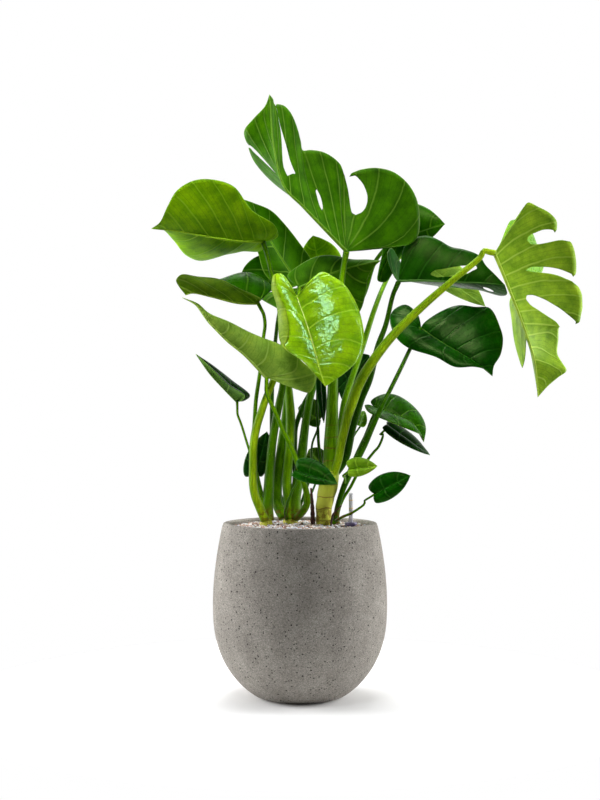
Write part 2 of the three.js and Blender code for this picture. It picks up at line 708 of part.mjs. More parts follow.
          after: [[0.22, 0.54], [0.32, 0.578], [0.48, 0.615], [0.6, 0.637], [0.71, 0.667], [1, 0.731]],
        },
      ],
    },
    left: [
      [402, 908, -15], [414, 938, 45], [422, 951, 75], [440, 950, 100], [464, 930, 120], [476, 900, 128],
      [486, 866, 128], [482, 846, 122], [456, 826, 112], [428, 806, 100], [418, 790, 92], [423, 752, 74],
      [431, 704, 52], [445, 656, 24], [438, 700, 40], [443, 735, 30], [452, 716, 10], [460, 690, -5],
      [467, 655, -20], [473, 618, -38],
    ],
    leftOptions: {
      columns: 20, fan: 0.2, arch: 5,
    },
  },
  leaf_right_dark_split: {
    color: 'dark', keel: 3, knee: 4.6,
    rib: [[197, 829, 20], [250, 830, 6], [310, 827, -8], [360, 826, -14], [410, 822, -18]],
    left: [
      [204, 868, 20], [207, 896, 22], [227, 915, 22], [256, 920, 20], [280, 911, 14], [301, 899, 8],
      [329, 893, 2], [358, 881, -4], [372, 861, -10], [388, 845, -14],
    ],
    leftOptions: {
      columns: 12, rows: [0, 0.11, 0.22, 0.37, 0.5, 0.64, 0.8, 1], fan: 0.3, arch: 6,
      slits: [{
        at: 0.54, from: 0.11,
        before: [[0.16, 0.495], [0.28, 0.51], [0.37, 0.567], [0.5, 0.65], [0.6, 0.72], [0.64, 0.745]],
        after: [[0.22, 0.676], [0.45, 0.737], [0.58, 0.758], [0.64, 0.745]],
      }],
    },
    right: [
      [183, 850, 34], [174, 880, 54], [184, 896, 80], [215, 850, 112], [262, 826, 118], [320, 819, 92],
      [368, 812, 60], [400, 800, 30], [414, 804, 4],
    ],
    rightOptions: {
      columns: 10, fan: 0.35, arch: 5,
      slits: [oval(0.62, 0.2, 0.6, 0.025), oval(0.82, 0.25, 0.65, 0.022)],
    },
  },
  leaf_right_glossy: {
    color: 'dark', keel: 3.5, knee: 4,
    rib: [[242, 736, 0], [278, 711, -14], [317, 688, -24], [355, 665, -30], [385, 640, -30]],
    left: [
      [250, 748, 6], [285, 771, 14], [317, 781, 16], [350, 778, 12], [380, 776, 6], [401, 736, -4],
      [406, 714, -10], [401, 682, -18], [388, 660, -24],
    ],
    leftOptions: { ...BIG, fan: 0.2, arch: 8 },
    right: [
      [236, 762, 8], [211, 783, 14], [186, 771, 14], [180, 749, 8], [192, 717, -2], [215, 697, -12],
      [272, 678, -30], [310, 658, -38], [349, 658, -38], [370, 653, -34],
    ],
    rightOptions: { ...BIG, columns: 11, fan: 0.42, arch: 6 },
  },
  leaf_crown_right: {
    color: 'mid', knee: 3.6,
    rib: [[196, 908, 100], [228, 924, 92], [262, 936, 82], [290, 944, 70]],
    left: [[190, 932, 104], [204, 968, 104], [228, 984, 100], [254, 976, 92], [275, 960, 80]],
    right: [
      [186, 898, 98], [168, 904, 97], [163, 880, 97], [157, 852, 98], [156, 830, 98], [172, 828, 98],
      [188, 850, 102], [205, 884, 104], [238, 898, 96], [268, 920, 84],
    ],
    leftOptions: { columns: 6 }, rightOptions: { columns: 10, fan: 0.66, arch: 4 },
  },
  leaf_right_back: {
    color: 'bright', knee: 3.6,
    ...heart([206, 896, 165], [371, 779, 120], [298, 880, 150], [262, 828, 150]),
  },
  leaf_low_right_curved: {
    color: 'mid', knee: 3,
    rib: [[152, 572, -5], [190, 562, -17], [225, 545, -29], [248, 508, -35]],
    left: [[142, 590, 11], [164, 603, 21], [190, 602, 27], [222, 584, 17], [245, 558, -5], [252, 535, -21]],
    right: [[130, 582, -15], [136, 570, -29], [187, 546, -63], [220, 531, -63], [243, 520, -49]],
    leftOptions: { columns: 7 }, rightOptions: { columns: 7 },
  },
  leaf_low_right_narrow: {
    color: 'dark', knee: 2,
    ...heart([177, 539, 0], [260, 482, -26], [218, 526, 28], [202, 506, -36]),
  },
  leaf_low_right_round: {
    color: 'bright', knee: 1.8,
    ...heart([101, 453, -72], [155, 460, -92], [116, 477, -70], [122, 440, -92]),
  },
  leaf_rim_right: {
    color: 'dark', knee: 2,
    ...heart([150, 404, -60], [221, 441, -84], [166, 444, -54], [187, 397, -74]),
  },
  leaf_rim_front: {
    color: 'dark', knee: 2,
    ...heart([-4, 450, -112], [75, 424, -136], [34, 470, -100], [16, 426, -128]),
  },
  leaf_inner_right: {
    color: 'dark', knee: 2.2,
    ...heart([77, 616, 108], [139, 682, 108], [84, 672, 104], [128, 604, 114]),
  },
  leaf_inner_left: {
    color: 'dark', knee: 2.2,
    ...heart([40, 552, 96], [-4, 576, 92], [28, 594, 92], [14, 545, 104]),
  },
  leaf_inner_hanging: {
    color: 'dark', knee: 2,
    ...heart([40, 636, 8], [48, 546, -2], [51, 600, 14], [34, 600, -6]),
  },
  leaf_inner_small: {
    color: 'dark', knee: 1.8,
    ...heart([44, 462, 112], [18, 494, 106], [46, 492, 104], [16, 464, 124]),
  },
  leaf_inner_rolled: {
    color: 'bright', knee: 1.8,
    ...heart([121, 540, 60], [129, 570, 54], [118, 562, 84], [134, 552, 34]),
  },
};

// ---------------------------------------------------------------- shoots
// A stalk's route goes from the shoot's crown to the leaf it carries, with its radii along the way.

const SHOOTS = {
  shoot_left: {
    color: 0x7a9a20,
    crown: [-67, -6, 15],
    stalks: [
      {
        leaf: 'leaf_front_young', radii: [9, 8.6, 8, 8, 7.2, 6.5, 5.8, 5, 4.4],
        route: [[-70, 352, -12], [-81, 379, -18], [-89, 399, -20], [-94, 424, -22], [-94, 460, -25],
          [-92, 508, -28], [-86, 542, -30], [-79, 564, -30], [-69, 592, -31], [-50, 640, -32], [-34, 700, -36],
          [-20, 760, -60], [-12, 790, -85]],
      },
      {
        leaf: 'leaf_left_round', radii: [12.5, 10.2, 8.8, 8, 6.4, 5.6, 5, 4.6, 4.2],
        route: [[-64, 350, 0], [-65, 380, 3], [-63, 410, 5], [-61, 450, 7], [-56, 500, 8], [-48, 552, 8],
          [-41, 590, 6], [-35, 620, 4], [-29, 700, 6], [-41, 782, 4], [-57, 844, 4], [-64, 876, 4]],
      },
      {
        leaf: 'leaf_left_folded', radii: [5, 4.6, 4.2, 4, 3.6, 3.4],
        route: [[-74, 352, 4], [-77, 400, 14], [-84, 430, 16], [-93, 470, 14], [-96, 508, 12], [-92, 536, 10],
          [-90, 564, 8], [-88, 592, 8], [-80, 649, 6], [-73, 718, 4], [-70, 742, 2], [-73, 764, -4]],
      },
      {
        leaf: 'leaf_left_small', radii: [3.2, 2.8, 2.4, 2.4],
        route: [[-66, 352, -14], [-76, 392, 0], [-94, 460, -2], [-104, 500, -14], [-120, 550, -34],
          [-125, 572, -40]],
      },
      {
        leaf: 'leaf_low_left', radii: [3.4, 2.6, 2.2],
        route: [[-76, 352, 4], [-84, 388, 28], [-88, 424, 34]],
      },
    ],
  },
  shoot_middle: {
    color: 0x4f7a12,
    crown: [-20, 22, 17],
    stalks: [
      {
        leaf: 'leaf_left_back', radii: [11, 10.5, 8.5, 6, 5, 4.4, 3.6],
        route: [[-32, 356, 28], [-45, 385, 40], [-46, 420, 44], [-42, 460, 48], [-36, 510, 50], [-30, 560, 50],
          [-22, 680, 56], [-8, 770, 76], [-4, 800, 88]],
      },
      {
        leaf: 'leaf_middle_wide', radii: [9.5, 9.6, 9.6, 9.6, 8, 6, 5, 4],
        route: [[-21, 354, 18], [-23, 385, 20], [-26, 424, 22], [-24, 460, 24], [-20, 508, 24], [-19, 560, 24],
          [-22, 600, 26], [-26, 660, 30], [-12, 740, 24], [-5, 786, 12]],
      },
      {
        leaf: 'leaf_crown_back', radii: [6, 5.4, 5, 5, 4.4, 4, 3],
        route: [[-13, 354, 28], [-10, 440, 44], [-10, 508, 56], [-8, 540, 58], [8, 584, 62], [24, 614, 70],
          [40, 690, 100], [44, 780, 130], [43, 812, 142]],
      },
      {
        leaf: 'leaf_left_dark', radii: [5, 4.5, 4, 3],
        route: [[-24, 356, 32], [-50, 440, 70], [-56, 600, 100], [-46, 740, 128], [-34, 810, 180], [-34, 848, 190]],
      },
      {
        leaf: 'leaf_crown_right', radii: [12, 11, 8.5, 7.5, 6.5, 5.5, 4.5, 3.6],
        route: [[-11, 354, 20], [-10, 372, 20], [-9, 400, 24], [-4, 430, 30], [3, 480, 40], [12, 550, 48],
          [19, 592, 52], [27, 622, 56], [60, 700, 90], [126, 800, 134], [150, 868, 136], [166, 896, 126]],
      },
      {
        leaf: 'leaf_left_long', radii: [7.5, 7, 5.5, 5, 4.4, 4, 3.6],
        route: [[-8, 356, 12], [5, 368, -12], [14, 385, -30], [13, 405, -44], [8, 424, -54], [-2, 458, -64],
          [-19, 500, -66], [-33, 530, -66], [-47, 561, -66], [-61, 592, -66], [-67, 612, -66]],
      },
      {
        leaf: 'leaf_rim_front', radii: [3.6, 3, 2.4, 2],
        route: [[-28, 354, 12], [-28, 372, -20], [-19, 402, -62], [-6, 430, -98]],
      },
      {
        leaf: 'leaf_inner_left', radii: [3.4, 3, 2.4, 2.2],
        route: [[-10, 354, 28], [20, 440, 74], [24, 500, 88], [34, 532, 96]],
      },
      {
        leaf: 'leaf_inner_small', radii: [3, 2.4, 1.8],
        route: [[-12, 356, 30], [20, 400, 84], [38, 444, 112]],
      },
    ],
  },
  shoot_main: {
    color: 0x7f9c22,
    crown: [48, -6, 15],
    stalks: [
      {
        radii: [14.5, 16, 17.5, 19.5, 17],
        route: [[47, 344, -6], [48, 379, -6], [51, 396, -6], [57, 424, -6], [61, 452, -6]],
      },
      {
        leaf: 'leaf_crown_split', radii: [16, 15, 12.8, 10.8, 9.6, 8.6, 7.4, 6.2, 5.4],
        route: [[58, 436, -4], [62, 474, -5], [62, 508, -6], [64, 550, -8], [65, 592, -10], [66, 640, -14],
          [76, 740, -20], [84, 836, -28], [88, 864, -32]],
      },
      {
        leaf: 'leaf_right_split', radii: [9, 9, 10.4, 10, 9, 8, 7, 6, 5.2],
        route: [[64, 436, -10], [76, 472, -20], [83, 508, -26], [89, 536, -30], [96, 564, -33], [106, 592, -36],
          [117, 622, -40], [139, 660, -48], [183, 718, -58], [247, 781, -68], [311, 836, -74], [361, 878, -70],
          [378, 888, -66]],
      },
      {
        leaf: 'leaf_right_dark_split', radii: [8, 8.5, 8, 7, 6, 5, 4.6],
        route: [[62, 436, 2], [80, 458, 6], [93, 482, 8], [99, 508, 10], [104, 536, 12], [113, 564, 14],
          [122, 592, 15], [137, 628, 16], [157, 702, 18], [171, 742, 20], [182, 792, 22]],
      },
      {
        leaf: 'leaf_right_back', radii: [8, 7, 6, 5, 4],
        route: [[54, 440, 6], [78, 520, 30], [90, 590, 50], [129, 710, 90], [149, 774, 120], [177, 840, 180],
          [198, 876, 196]],
      },
      {
        leaf: 'leaf_inner_right', radii: [3.4, 3, 2.4],
        route: [[56, 440, 6], [70, 520, 60], [72, 580, 96], [75, 598, 106]],
      },
      {
        leaf: 'leaf_inner_hanging', radii: [3.4, 3, 2.4, 2],
        route: [[48, 430, 4], [38, 500, 22], [34, 600, 26], [36, 652, 20], [38, 660, 14]],
      },
      {
        leaf: 'leaf_inner_rolled', radii: [3, 2.6, 2, 1.8],
        route: [[62, 450, 4], [92, 500, 34], [112, 528, 56], [117, 534, 60]],
      },
    ],
  },
  shoot_right: {
    color: 0x31601a,
    crown: [72, 16, 10],
    stalks: [
      {
        leaf: 'leaf_right_glossy', radii: [5, 5.5, 7, 8, 6, 4.4, 4.2, 4, 4],
        route: [[70, 350, 14], [74, 374, 4], [80, 396, -8], [90, 424, -16], [103, 452, -26], [115, 477, -32],
          [126, 500, -38], [139, 528, -50], [148, 547, -58], [156, 564, -62], [169, 590, -60], [203, 658, -26],
          [219, 692, 0]],
      },
      {
        leaf: 'leaf_low_right_curved', radii: [4, 3.6, 3],
        route: [[103, 452, -26], [118, 486, -26], [134, 528, -22], [145, 556, -18]],
      },
      {
        leaf: 'leaf_low_right_narrow', radii: [3.4, 3.2, 3, 2.6, 2],
        route: [[74, 350, 18], [78, 374, 16], [87, 396, 12], [101, 418, 8], [115, 444, 8], [135, 472, 8],
          [148, 488, 8], [158, 500, 6], [166, 524, 4], [171, 533, 2]],
      },
      {
        leaf: 'leaf_low_right_round', radii: [3, 2.4, 1.8],
        route: [[90, 424, -16], [89, 438, -46], [94, 447, -64]],
      },
      {
        leaf: 'leaf_rim_right', radii: [3.4, 3, 2.4, 2],
        route: [[72, 351, 10], [76, 353, -24], [87, 359, -46], [101, 365, -56], [118, 375, -60], [129, 385, -62],
          [138, 396, -62]],
      },
    ],
  },
};

// Roots that stand out of the filling, as [right, up, away] routes.
const AERIAL_ROOTS = {
  aerial_root_right: { radii: [2.2, 1.8, 1.2], route: [[61, 336, -27], [66, 363, -27], [74, 372, -28], [83, 381, -30]] },
  aerial_root_back: { radii: [5, 4, 1.8], route: [[26, 336, -8], [25, 372, -8], [22, 416, -2]] },
};

// ---------------------------------------------------------------- the whole plant

function routeTo(leafName) {
  for (const plan of Object.values(SHOOTS)) {
    const stalk = plan.stalks.find((candidate) => candidate.leaf === leafName);
    if (stalk) {
      return stalk.route;
    }
  }
  throw new Error(`no stalk carries ${leafName}`);
}

function rootHole(root) {
  const foot = sighted(root.route[0]);
  return cylinder(root.radii[0] + 4, foot.z - 2 * CLEARANCE, foot.z + 30, [foot.x, foot.y], 8);
}

function pottedPlant() {
  const plant = new THREE.Group();
  const plans = Object.values(SHOOTS);
  const roots = Object.values(AERIAL_ROOTS);
  plant.add(pot());
  plant.add(filling([gaugeHole(), ...plans.map(crownHole), ...roots.map(rootHole)]));
  plant.add(...gauge());
  for (const [name, leaf] of Object.entries(LEAVES)) {
    plant.add(blade(name, leaf, routeTo(name)));
  }
  for (const [name, plan] of Object.entries(SHOOTS)) {
    plant.add(shoot(name, plan));
  }
  for (const [name, root] of Object.entries(AERIAL_ROOTS)) {
    plant.add(meshOf(name, stalkGeometry(root.route.map(sighted), root.radii, 6), finish(0x3a2219, 0.7)));
  }
  return plant;
}

export default pottedPlant();
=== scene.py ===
"""A potted monstera plant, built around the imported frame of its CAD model.

The planter, its granules, the water gauge, the stalks and the leaf blades are fine meshes that stand in
the places of the CAD model's plain solids. Places are given in millimetres in the front view, as in the
CAD model's source, and turned to metres when a mesh is made.
"""

import math
import random

import bmesh
import bpy
import numpy as np
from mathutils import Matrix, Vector


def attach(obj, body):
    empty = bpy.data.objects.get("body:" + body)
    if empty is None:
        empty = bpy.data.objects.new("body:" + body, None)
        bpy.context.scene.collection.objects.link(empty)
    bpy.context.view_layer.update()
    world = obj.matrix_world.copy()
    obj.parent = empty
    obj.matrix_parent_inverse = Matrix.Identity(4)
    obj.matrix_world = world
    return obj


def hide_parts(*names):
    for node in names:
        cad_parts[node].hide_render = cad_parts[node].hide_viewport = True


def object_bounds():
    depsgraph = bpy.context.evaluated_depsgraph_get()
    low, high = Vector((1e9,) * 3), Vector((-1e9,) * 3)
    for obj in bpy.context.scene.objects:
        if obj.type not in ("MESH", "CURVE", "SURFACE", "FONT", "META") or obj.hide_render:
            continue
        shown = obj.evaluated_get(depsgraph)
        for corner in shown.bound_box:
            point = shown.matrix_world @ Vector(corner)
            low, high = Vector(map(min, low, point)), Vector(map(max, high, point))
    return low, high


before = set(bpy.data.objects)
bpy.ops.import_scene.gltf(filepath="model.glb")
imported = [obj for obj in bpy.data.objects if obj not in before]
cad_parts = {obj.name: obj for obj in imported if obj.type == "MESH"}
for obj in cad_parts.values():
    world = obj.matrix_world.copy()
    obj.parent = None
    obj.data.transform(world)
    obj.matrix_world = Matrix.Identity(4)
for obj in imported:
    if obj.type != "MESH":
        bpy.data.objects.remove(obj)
CAD_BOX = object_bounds()

bl_info = {
    "name": "Potted Monstera",
    "version": (1, 0, 0),
    "blender": (4, 5, 0),
    "location": "3D View > Sidebar > Plant",
    "description": "Builds a monstera in a concrete planter around its packed frame",
    "category": "Add Mesh",
}

MM = 0.001
SEED = 11

# The front view that the places of stalks and leaves are given in, in mm.
VIEW_DISTANCE = 2900
EYE_HEIGHT = 592
PHOTO_HEIGHT_AT_AXIS = 1600

# Planter and filling, in mm, as in the CAD model.
POT_HEIGHT = 347
POT_BELLY_RADIUS = 174
POT_BELLY_HEIGHT = 188
POT_RIM_RADIUS = 154
POT_BASE_RADIUS = 80
POT_WALL = 16
POT_FLOOR = 20
FILL_EDGE_HEIGHT = 338
FILL_CROWN = 6
GAUGE_AT = (101, -25)
GAUGE_TOP = 408
PLANTING_DEPTH = 60
CASING_FLOOR = 6

# The granules: the bed lies a little lower than the CAD model's plain top, and the loose ones lie on it.
BED_DROP = 3
GRANULE_TRIES = 4600
GRANULE_SHAPES = 10
GRANULE_HALF_WIDTHS = (1.7, 2.1, 2.6, 3.0, 3.4)


# ---------------------------------------------------------------- places and curves


def sighted(place):
    """A place seen right and up in the plane through the pot's axis, moved away along the line of sight."""
    right, up, away = place
    reach = (VIEW_DISTANCE + away) / VIEW_DISTANCE
    return (right * reach, away, EYE_HEIGHT + (up - EYE_HEIGHT) * reach)


def curve_places(points, shares):
    """Places on the smooth curve through the points, at shares of its number of spans."""
    points = np.asarray(points, float)
    spans = len(points) - 1
    first = 2 * points[0] - points[1]
    last = 2 * points[-1] - points[-2]
    padded = np.vstack([first, points, last])
    position = np.clip(np.asarray(shares, float), 0, 1) * spans
    span = np.minimum(position.astype(int), spans - 1)
    t = (position - span)[:, None]
    p0, p1, p2, p3 = (padded[span + i] for i in range(4))
    gaps = [np.sqrt(np.linalg.norm(b - a, axis=1))[:, None] for a, b in ((p0, p1), (p1, p2), (p2, p3))]
    middle = np.where(gaps[1] < 1e-4, 1, gaps[1])
    before = np.where(gaps[0] < 1e-4, middle, gaps[0])
    after = np.where(gaps[2] < 1e-4, middle, gaps[2])
    leave = ((p1 - p0) / before - (p2 - p0) / (before + middle) + (p2 - p1) / middle) * middle
    arrive = ((p2 - p1) / middle - (p3 - p1) / (middle + after) + (p3 - p2) / after) * middle
    square = -3 * p1 + 3 * p2 - 2 * leave - arrive
    cube = 2 * p1 - 2 * p2 + leave + arrive
    return p1 + leave * t + square * t ** 2 + cube * t ** 3


def even_places(points, spacing):
    """Places a spacing apart along the smooth curve, with their shares of its length."""
    fine = curve_places(points, np.linspace(0, 1, 40 * (len(points) - 1) + 1))
    run = np.concatenate([[0], np.cumsum(np.linalg.norm(np.diff(fine, axis=0), axis=1))])
    count = max(4, int(math.ceil(run[-1] / spacing)))
    marks = np.linspace(0, run[-1], count + 1)
    places = np.stack([np.interp(marks, run, fine[:, axis]) for axis in range(3)], axis=1)
    return places, marks / run[-1]


def smooth(value):
    """A smooth step of a share from 0 to 1."""
    value = np.clip(value, 0, 1)
    return value * value * (3 - 2 * value)


# ---------------------------------------------------------------- meshes and materials


def select_none():
    """Leaves nothing selected and no object active."""
    for item in bpy.context.selected_objects:
        item.select_set(False)
    bpy.context.view_layer.objects.active = None


def mesh_piece(name, places, faces, attributes=None, material_numbers=None, materials=()):
    """A smooth-shaded mesh object at the origin from places in mm."""
    mesh = bpy.data.meshes.new(name)
    mesh.from_pydata([tuple(place) for place in np.asarray(places, float) * MM], [], faces)
    for material in materials:
        mesh.materials.append(material)
    if material_numbers is not None:
        mesh.polygons.foreach_set("material_index", np.asarray(material_numbers, dtype=np.int32))
    mesh.polygons.foreach_set("use_smooth", np.ones(len(mesh.polygons), dtype=bool))
    for key, values in (attributes or {}).items():
        layer = mesh.attributes.new(key, "FLOAT", "POINT")
        layer.data.foreach_set("value", np.asarray(values, dtype=np.float32))
    mesh.update()
    piece = bpy.data.objects.new(name, mesh)
    bpy.context.collection.objects.link(piece)
    return piece


def settle(piece, slot, *nodes):
    """The piece rides on the part's one body and stands for the nodes."""
    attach(piece, "root")
    if nodes:
        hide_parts(*nodes)


def linear(code):
    """A linear colour from an sRGB hex code."""
    parts = [int(code[i:i + 2], 16) / 255 for i in (1, 3, 5)]
    return tuple(p / 12.92 if p <= 0.04045 else ((p + 0.055) / 1.055) ** 2.4 for p in parts) + (1.0,)


def new_material(name):
    """An empty node material with its principled shader, and its node tree."""
    material = bpy.data.materials.new(name)
    material.use_nodes = True
    tree = material.node_tree
    return material, tree, tree.nodes["Principled BSDF"]


def node(tree, kind, settings=None, links=None):
    """Adds a node with its settings, and its inputs linked or set."""
    made = tree.nodes.new("ShaderNode" + kind)
    for key, value in (settings or {}).items():
        setattr(made, key, value)
    for key, value in (links or {}).items():
        if isinstance(value, bpy.types.NodeSocket):
            tree.links.new(value, made.inputs[key])
        else:
            made.inputs[key].default_value = value
    return made


def math_of(tree, operation, *values):
    """The result of a math node on numbers or sockets."""
    made = node(tree, "Math", {"operation": operation}, dict(enumerate(values)))
    return made.outputs[0]


def ramp_of(tree, share, stops, interpolation="LINEAR"):
    """A colour ramp's colour, with stops as (place, colour)."""
    made = node(tree, "ValToRGB", links={"Fac": share})
    ramp = made.color_ramp
    ramp.interpolation = interpolation
    while len(ramp.elements) < len(stops):
        ramp.elements.new(0.5)
    for element, (place, colour) in zip(ramp.elements, stops):
        element.position = place
        element.color = colour
    return made.outputs["Color"]


def mixed(tree, share, first, second, blend="MIX"):
    """Two colours mixed by a share."""
    made = node(tree, "Mix", {"data_type": "RGBA", "blend_type": blend})
    for socket, value in ((0, share), (6, first), (7, second)):
        if isinstance(value, bpy.types.NodeSocket):
            tree.links.new(value, made.inputs[socket])
        else:
            made.inputs[socket].default_value = value
    return made.outputs[2]


def attribute(tree, name):
    """The number that the piece's mesh holds under a name."""
    return node(tree, "Attribute", {"attribute_name": name}).outputs["Fac"]


def place_of(tree):
    """The place on the piece, in metres."""
    return node(tree, "TexCoord").outputs["Object"]


def noise(tree, size_mm, detail=3.0, roughness=0.5):
    """Noise whose lumps are about a size in mm."""
    made = node(tree, "TexNoise", links={
        "Vector": place_of(tree), "Scale": 1 / (size_mm * MM), "Detail": detail, "Roughness": roughness,
    })
    return made.outputs["Fac"]


def bump(tree, shader, height, depth_mm):
    """Bumps of a depth in mm on the shader's normal."""
    made = node(tree, "Bump", links={"Height": height, "Distance": depth_mm * MM, "Strength": 1.0})
    tree.links.new(made.outputs["Normal"], shader.inputs["Normal"])


# ---------------------------------------------------------------- leaf blades

# In mm: the blade's thickness inside and at its edge, the width of the mesh's columns at the margin, the
# distance between side veins there, the height of the swellings between them, and the rolled strip's skin.
BLADE_THICKNESS = 0.9
EDGE_THICKNESS = 0.35
COLUMN_SPACING = 4.2
VEIN_SPACING = 46
QUILT_HEIGHT = 0.9
ROLL_THICKNESS = 0.2

# How far the side veins bend towards the tip, as a share of the way round the margin.
VEIN_LEAN = 0.055

ROLL_COLUMNS = 90
ROLL_ROWS = 9


def heart(foot, tip, left, right):
    """Midrib and margins of a heart-shaped small leaf from its stalk end, tip and widest points."""
    foot, tip = np.array(foot, float), np.array(tip, float)
    share = [(-0.1, 0.3), (-0.14, 0.68), (0.02, 0.95), (0.3, 1), (0.6, 0.78), (0.85, 0.36)]

    def side(widest):
        width = np.array(widest, float) - foot - 0.3 * (tip - foot)
        return [tuple(foot + (tip - foot) * along + width * out) for along, out in share]

    return {"rib": [tuple(foot), tuple(foot + (tip - foot) * 0.5), tuple(tip)],
            "left": side(left), "right": side(right)}


def oval(at, start, end, reach):
    """An oval hole about the vein `at`, between two shares of the way out to the margin."""
    outline = ((0.2, 0.8), (0.5, 1), (0.8, 0.8), (1, 0))

    def side(sign):
        return [(round(start + (end - start) * along, 4), round(at + sign * reach * out, 4))
                for along, out in outline]

    return {"at": at, "from": start, "before": side(-1), "after": side(1)}


def slit_edge(slit, side, v):
    """The edge of a slit or hole before or after it: places along the margin at shares v of the way out."""
    line = np.array([(slit["from"], slit["at"], 0)] + [(across, along, 0) for across, along in slit[side]])
    fine = curve_places(line, np.linspace(0, 1, 12 * (len(line) - 1) + 1))
    return np.interp(v, np.maximum.accumulate(fine[:, 0]), fine[:, 1])


def slit_end(slit):
    """How far out a slit or hole reaches: 1 is the margin."""
    return slit["before"][-1][0]


def unit(vectors):
    """Vectors of length 1."""
    length = np.linalg.norm(vectors, axis=-1, keepdims=True)
    return vectors / np.where(length < 1e-9, 1, length)


class Half:
    """One half of a blade: u runs round the margin from stalk to tip, v along a vein to the margin."""

    def __init__(self, rib, margin, form, slits, sign, wave):
        self.rib = rib
        self.margin = [rib[0]] + [sighted(place) for place in margin] + [rib[-1]]
        self.fan = form.get("fan", 0.3)
        self.sweep = form.get("sweep", 1)
        self.arch = form.get("arch", 6)
        self.wave = wave
        self.slits = slits
        foot, tip, widest = (curve_places(*pair)[0] for pair in
                             ((rib, [0]), (rib, [1]), (self.margin, [0.45])))
        self.normal = sign * unit(np.cross(widest - foot, tip - foot))
        fine = curve_places(self.margin, np.linspace(0, 1, 400))
        self.length = np.linalg.norm(np.diff(fine, axis=0), axis=1).sum()
        self.veins = max(4, round(self.length / VEIN_SPACING))
        self.turn = sign * 2.1

    def rib_share(self, u):
        return np.maximum(0, (u - self.fan) / (1 - self.fan)) ** self.sweep

    def phase(self, u, v):
        """How many lateral veins lie between the stalk and the place."""
        return (u - VEIN_LEAN * v ** 2) * self.veins

    def places(self, u, v):
        """Places on the half's middle surface, with its arch, margin waves and quilting."""
        root = curve_places(self.rib, self.rib_share(u.ravel())).reshape(u.shape + (3,))
        end = curve_places(self.margin, u.ravel()).reshape(u.shape + (3,))
        place = root + (end - root) * v[..., None]
        fade = np.sin(np.pi * np.minimum(1, u * 1.15)) ** 0.7
        lift = self.arch * 4 * v * (1 - v) * fade
        lift += self.wave * v ** 2 * np.sin(self.phase(u, v) * 1.9 + self.turn) * fade
        reach = np.linalg.norm(end - root, axis=-1)
        beside = np.abs(self.phase(u, v) % 1 - 0.5) * 2
        quilt = QUILT_HEIGHT * (1 - beside ** 3) * smooth(v * reach / 12) * smooth((1 - v) * 6) * fade
        return place + self.normal * (lift + quilt)[..., None]


def half_grid(half):
    """The half's places, their normals, its quads, and the attributes that the leaf skins read."""
    rows = set(np.round(np.concatenate([np.linspace(0, 0.12, 4), np.linspace(0.12, 1, 15)]), 4))
    for slit in half.slits:
        start, end = slit["from"], slit_end(slit)
        for near in (0, 0.003, 0.01, 0.02, 0.035):
            rows.add(round(start + near, 5))
            if end < 1:
                rows.add(round(end - near, 5))
        rows.update(round(point[0], 5) for point in slit["before"] + slit["after"])
    v = np.array(sorted(rows))
    bounds = [0] + [slit["at"] for slit in half.slits] + [1]
    us, vs, quads = [], [], []
    count = 0
    last = None
    for lobe in range(len(bounds) - 1):
        before = half.slits[lobe - 1] if lobe > 0 else None
        after = half.slits[lobe] if lobe < len(half.slits) else None
        start = slit_edge(before, "after", v) if before else 0 * v
        end = slit_edge(after, "before", v) if after else 1 + 0 * v
        steps = max(4, int(math.ceil((bounds[lobe + 1] - bounds[lobe]) * half.length / COLUMN_SPACING)))
        share = np.linspace(0, 1, steps + 1)
        share = 0.75 * share + 0.25 * smooth(share)
        u = start[None, :] + (end - start)[None, :] * share[:, None]
        rounding = 9 / half.length
        cut = np.zeros_like(u)
        for slit, edge in ((before, start), (after, end)):
            if slit is not None and slit_end(slit) >= 1:
                near = np.clip(1 - np.abs(u - edge[-1]) / rounding, 0, 1)
                depth = (1 - np.sqrt(1 - near ** 2)) * 0.045
                cut = np.maximum(cut, depth * smooth((v - slit["from"]) / (1 - slit["from"]))[None, :])
        across = v[None, :] * (1 - cut)
        open_to = 2 if before and slit_end(before) >= 1 else slit_end(before) if before else 0
        grid = np.zeros(u.shape, dtype=int)
        for column in range(steps + 1):
            for row in range(len(v)):
                if column == 0 and last is not None and not before["from"] < v[row] < open_to:
                    grid[column, row] = last[row]
                else:
                    grid[column, row] = count
                    us.append(u[column, row])
                    vs.append(across[column, row])
                    count += 1
        for column in range(steps):
            for row in range(len(v) - 1):
                quads.append((grid[column, row], grid[column + 1, row],
                              grid[column + 1, row + 1], grid[column, row + 1]))
        last = grid[-1]
    u, v = np.array(us), np.array(vs)
    place = half.places(u, v)
    step = 0.002
    along = half.places(np.minimum(1, u + step), v) - half.places(np.maximum(0, u - step), v)
    outward = half.places(u, np.minimum(1, v + 0.01)) - half.places(u, np.maximum(0, v - 0.01))
    normal = np.cross(along, outward)
    facing = np.sign(normal @ half.normal)
    normal = unit(normal * np.where(facing == 0, 1, facing)[:, None])
    weak = np.linalg.norm(normal, axis=1) < 0.5
    normal[weak] = half.normal
    spacing = np.linalg.norm(along, axis=1) / (2 * step) / half.veins
    root = curve_places(half.rib, half.rib_share(u))
    end = curve_places(half.margin, u)
    reach = np.linalg.norm(end - root, axis=1)
    return {
        "places": place, "normals": normal, "quads": [tuple(int(i) for i in quad) for quad in quads],
        "phase": half.phase(u, v), "spacing": spacing, "from_rib": v * reach, "from_edge": (1 - v) * reach,
        "out": v,
    }


def open_edges(quads):
    """The directed edges of the quads that no neighbour shares."""
    edges = {}
    for quad in quads:
        for a, b in zip(quad, quad[1:] + quad[:1]):
            if (b, a) in edges:
                del edges[(b, a)]
            else:
                edges[(a, b)] = True
    return list(edges)


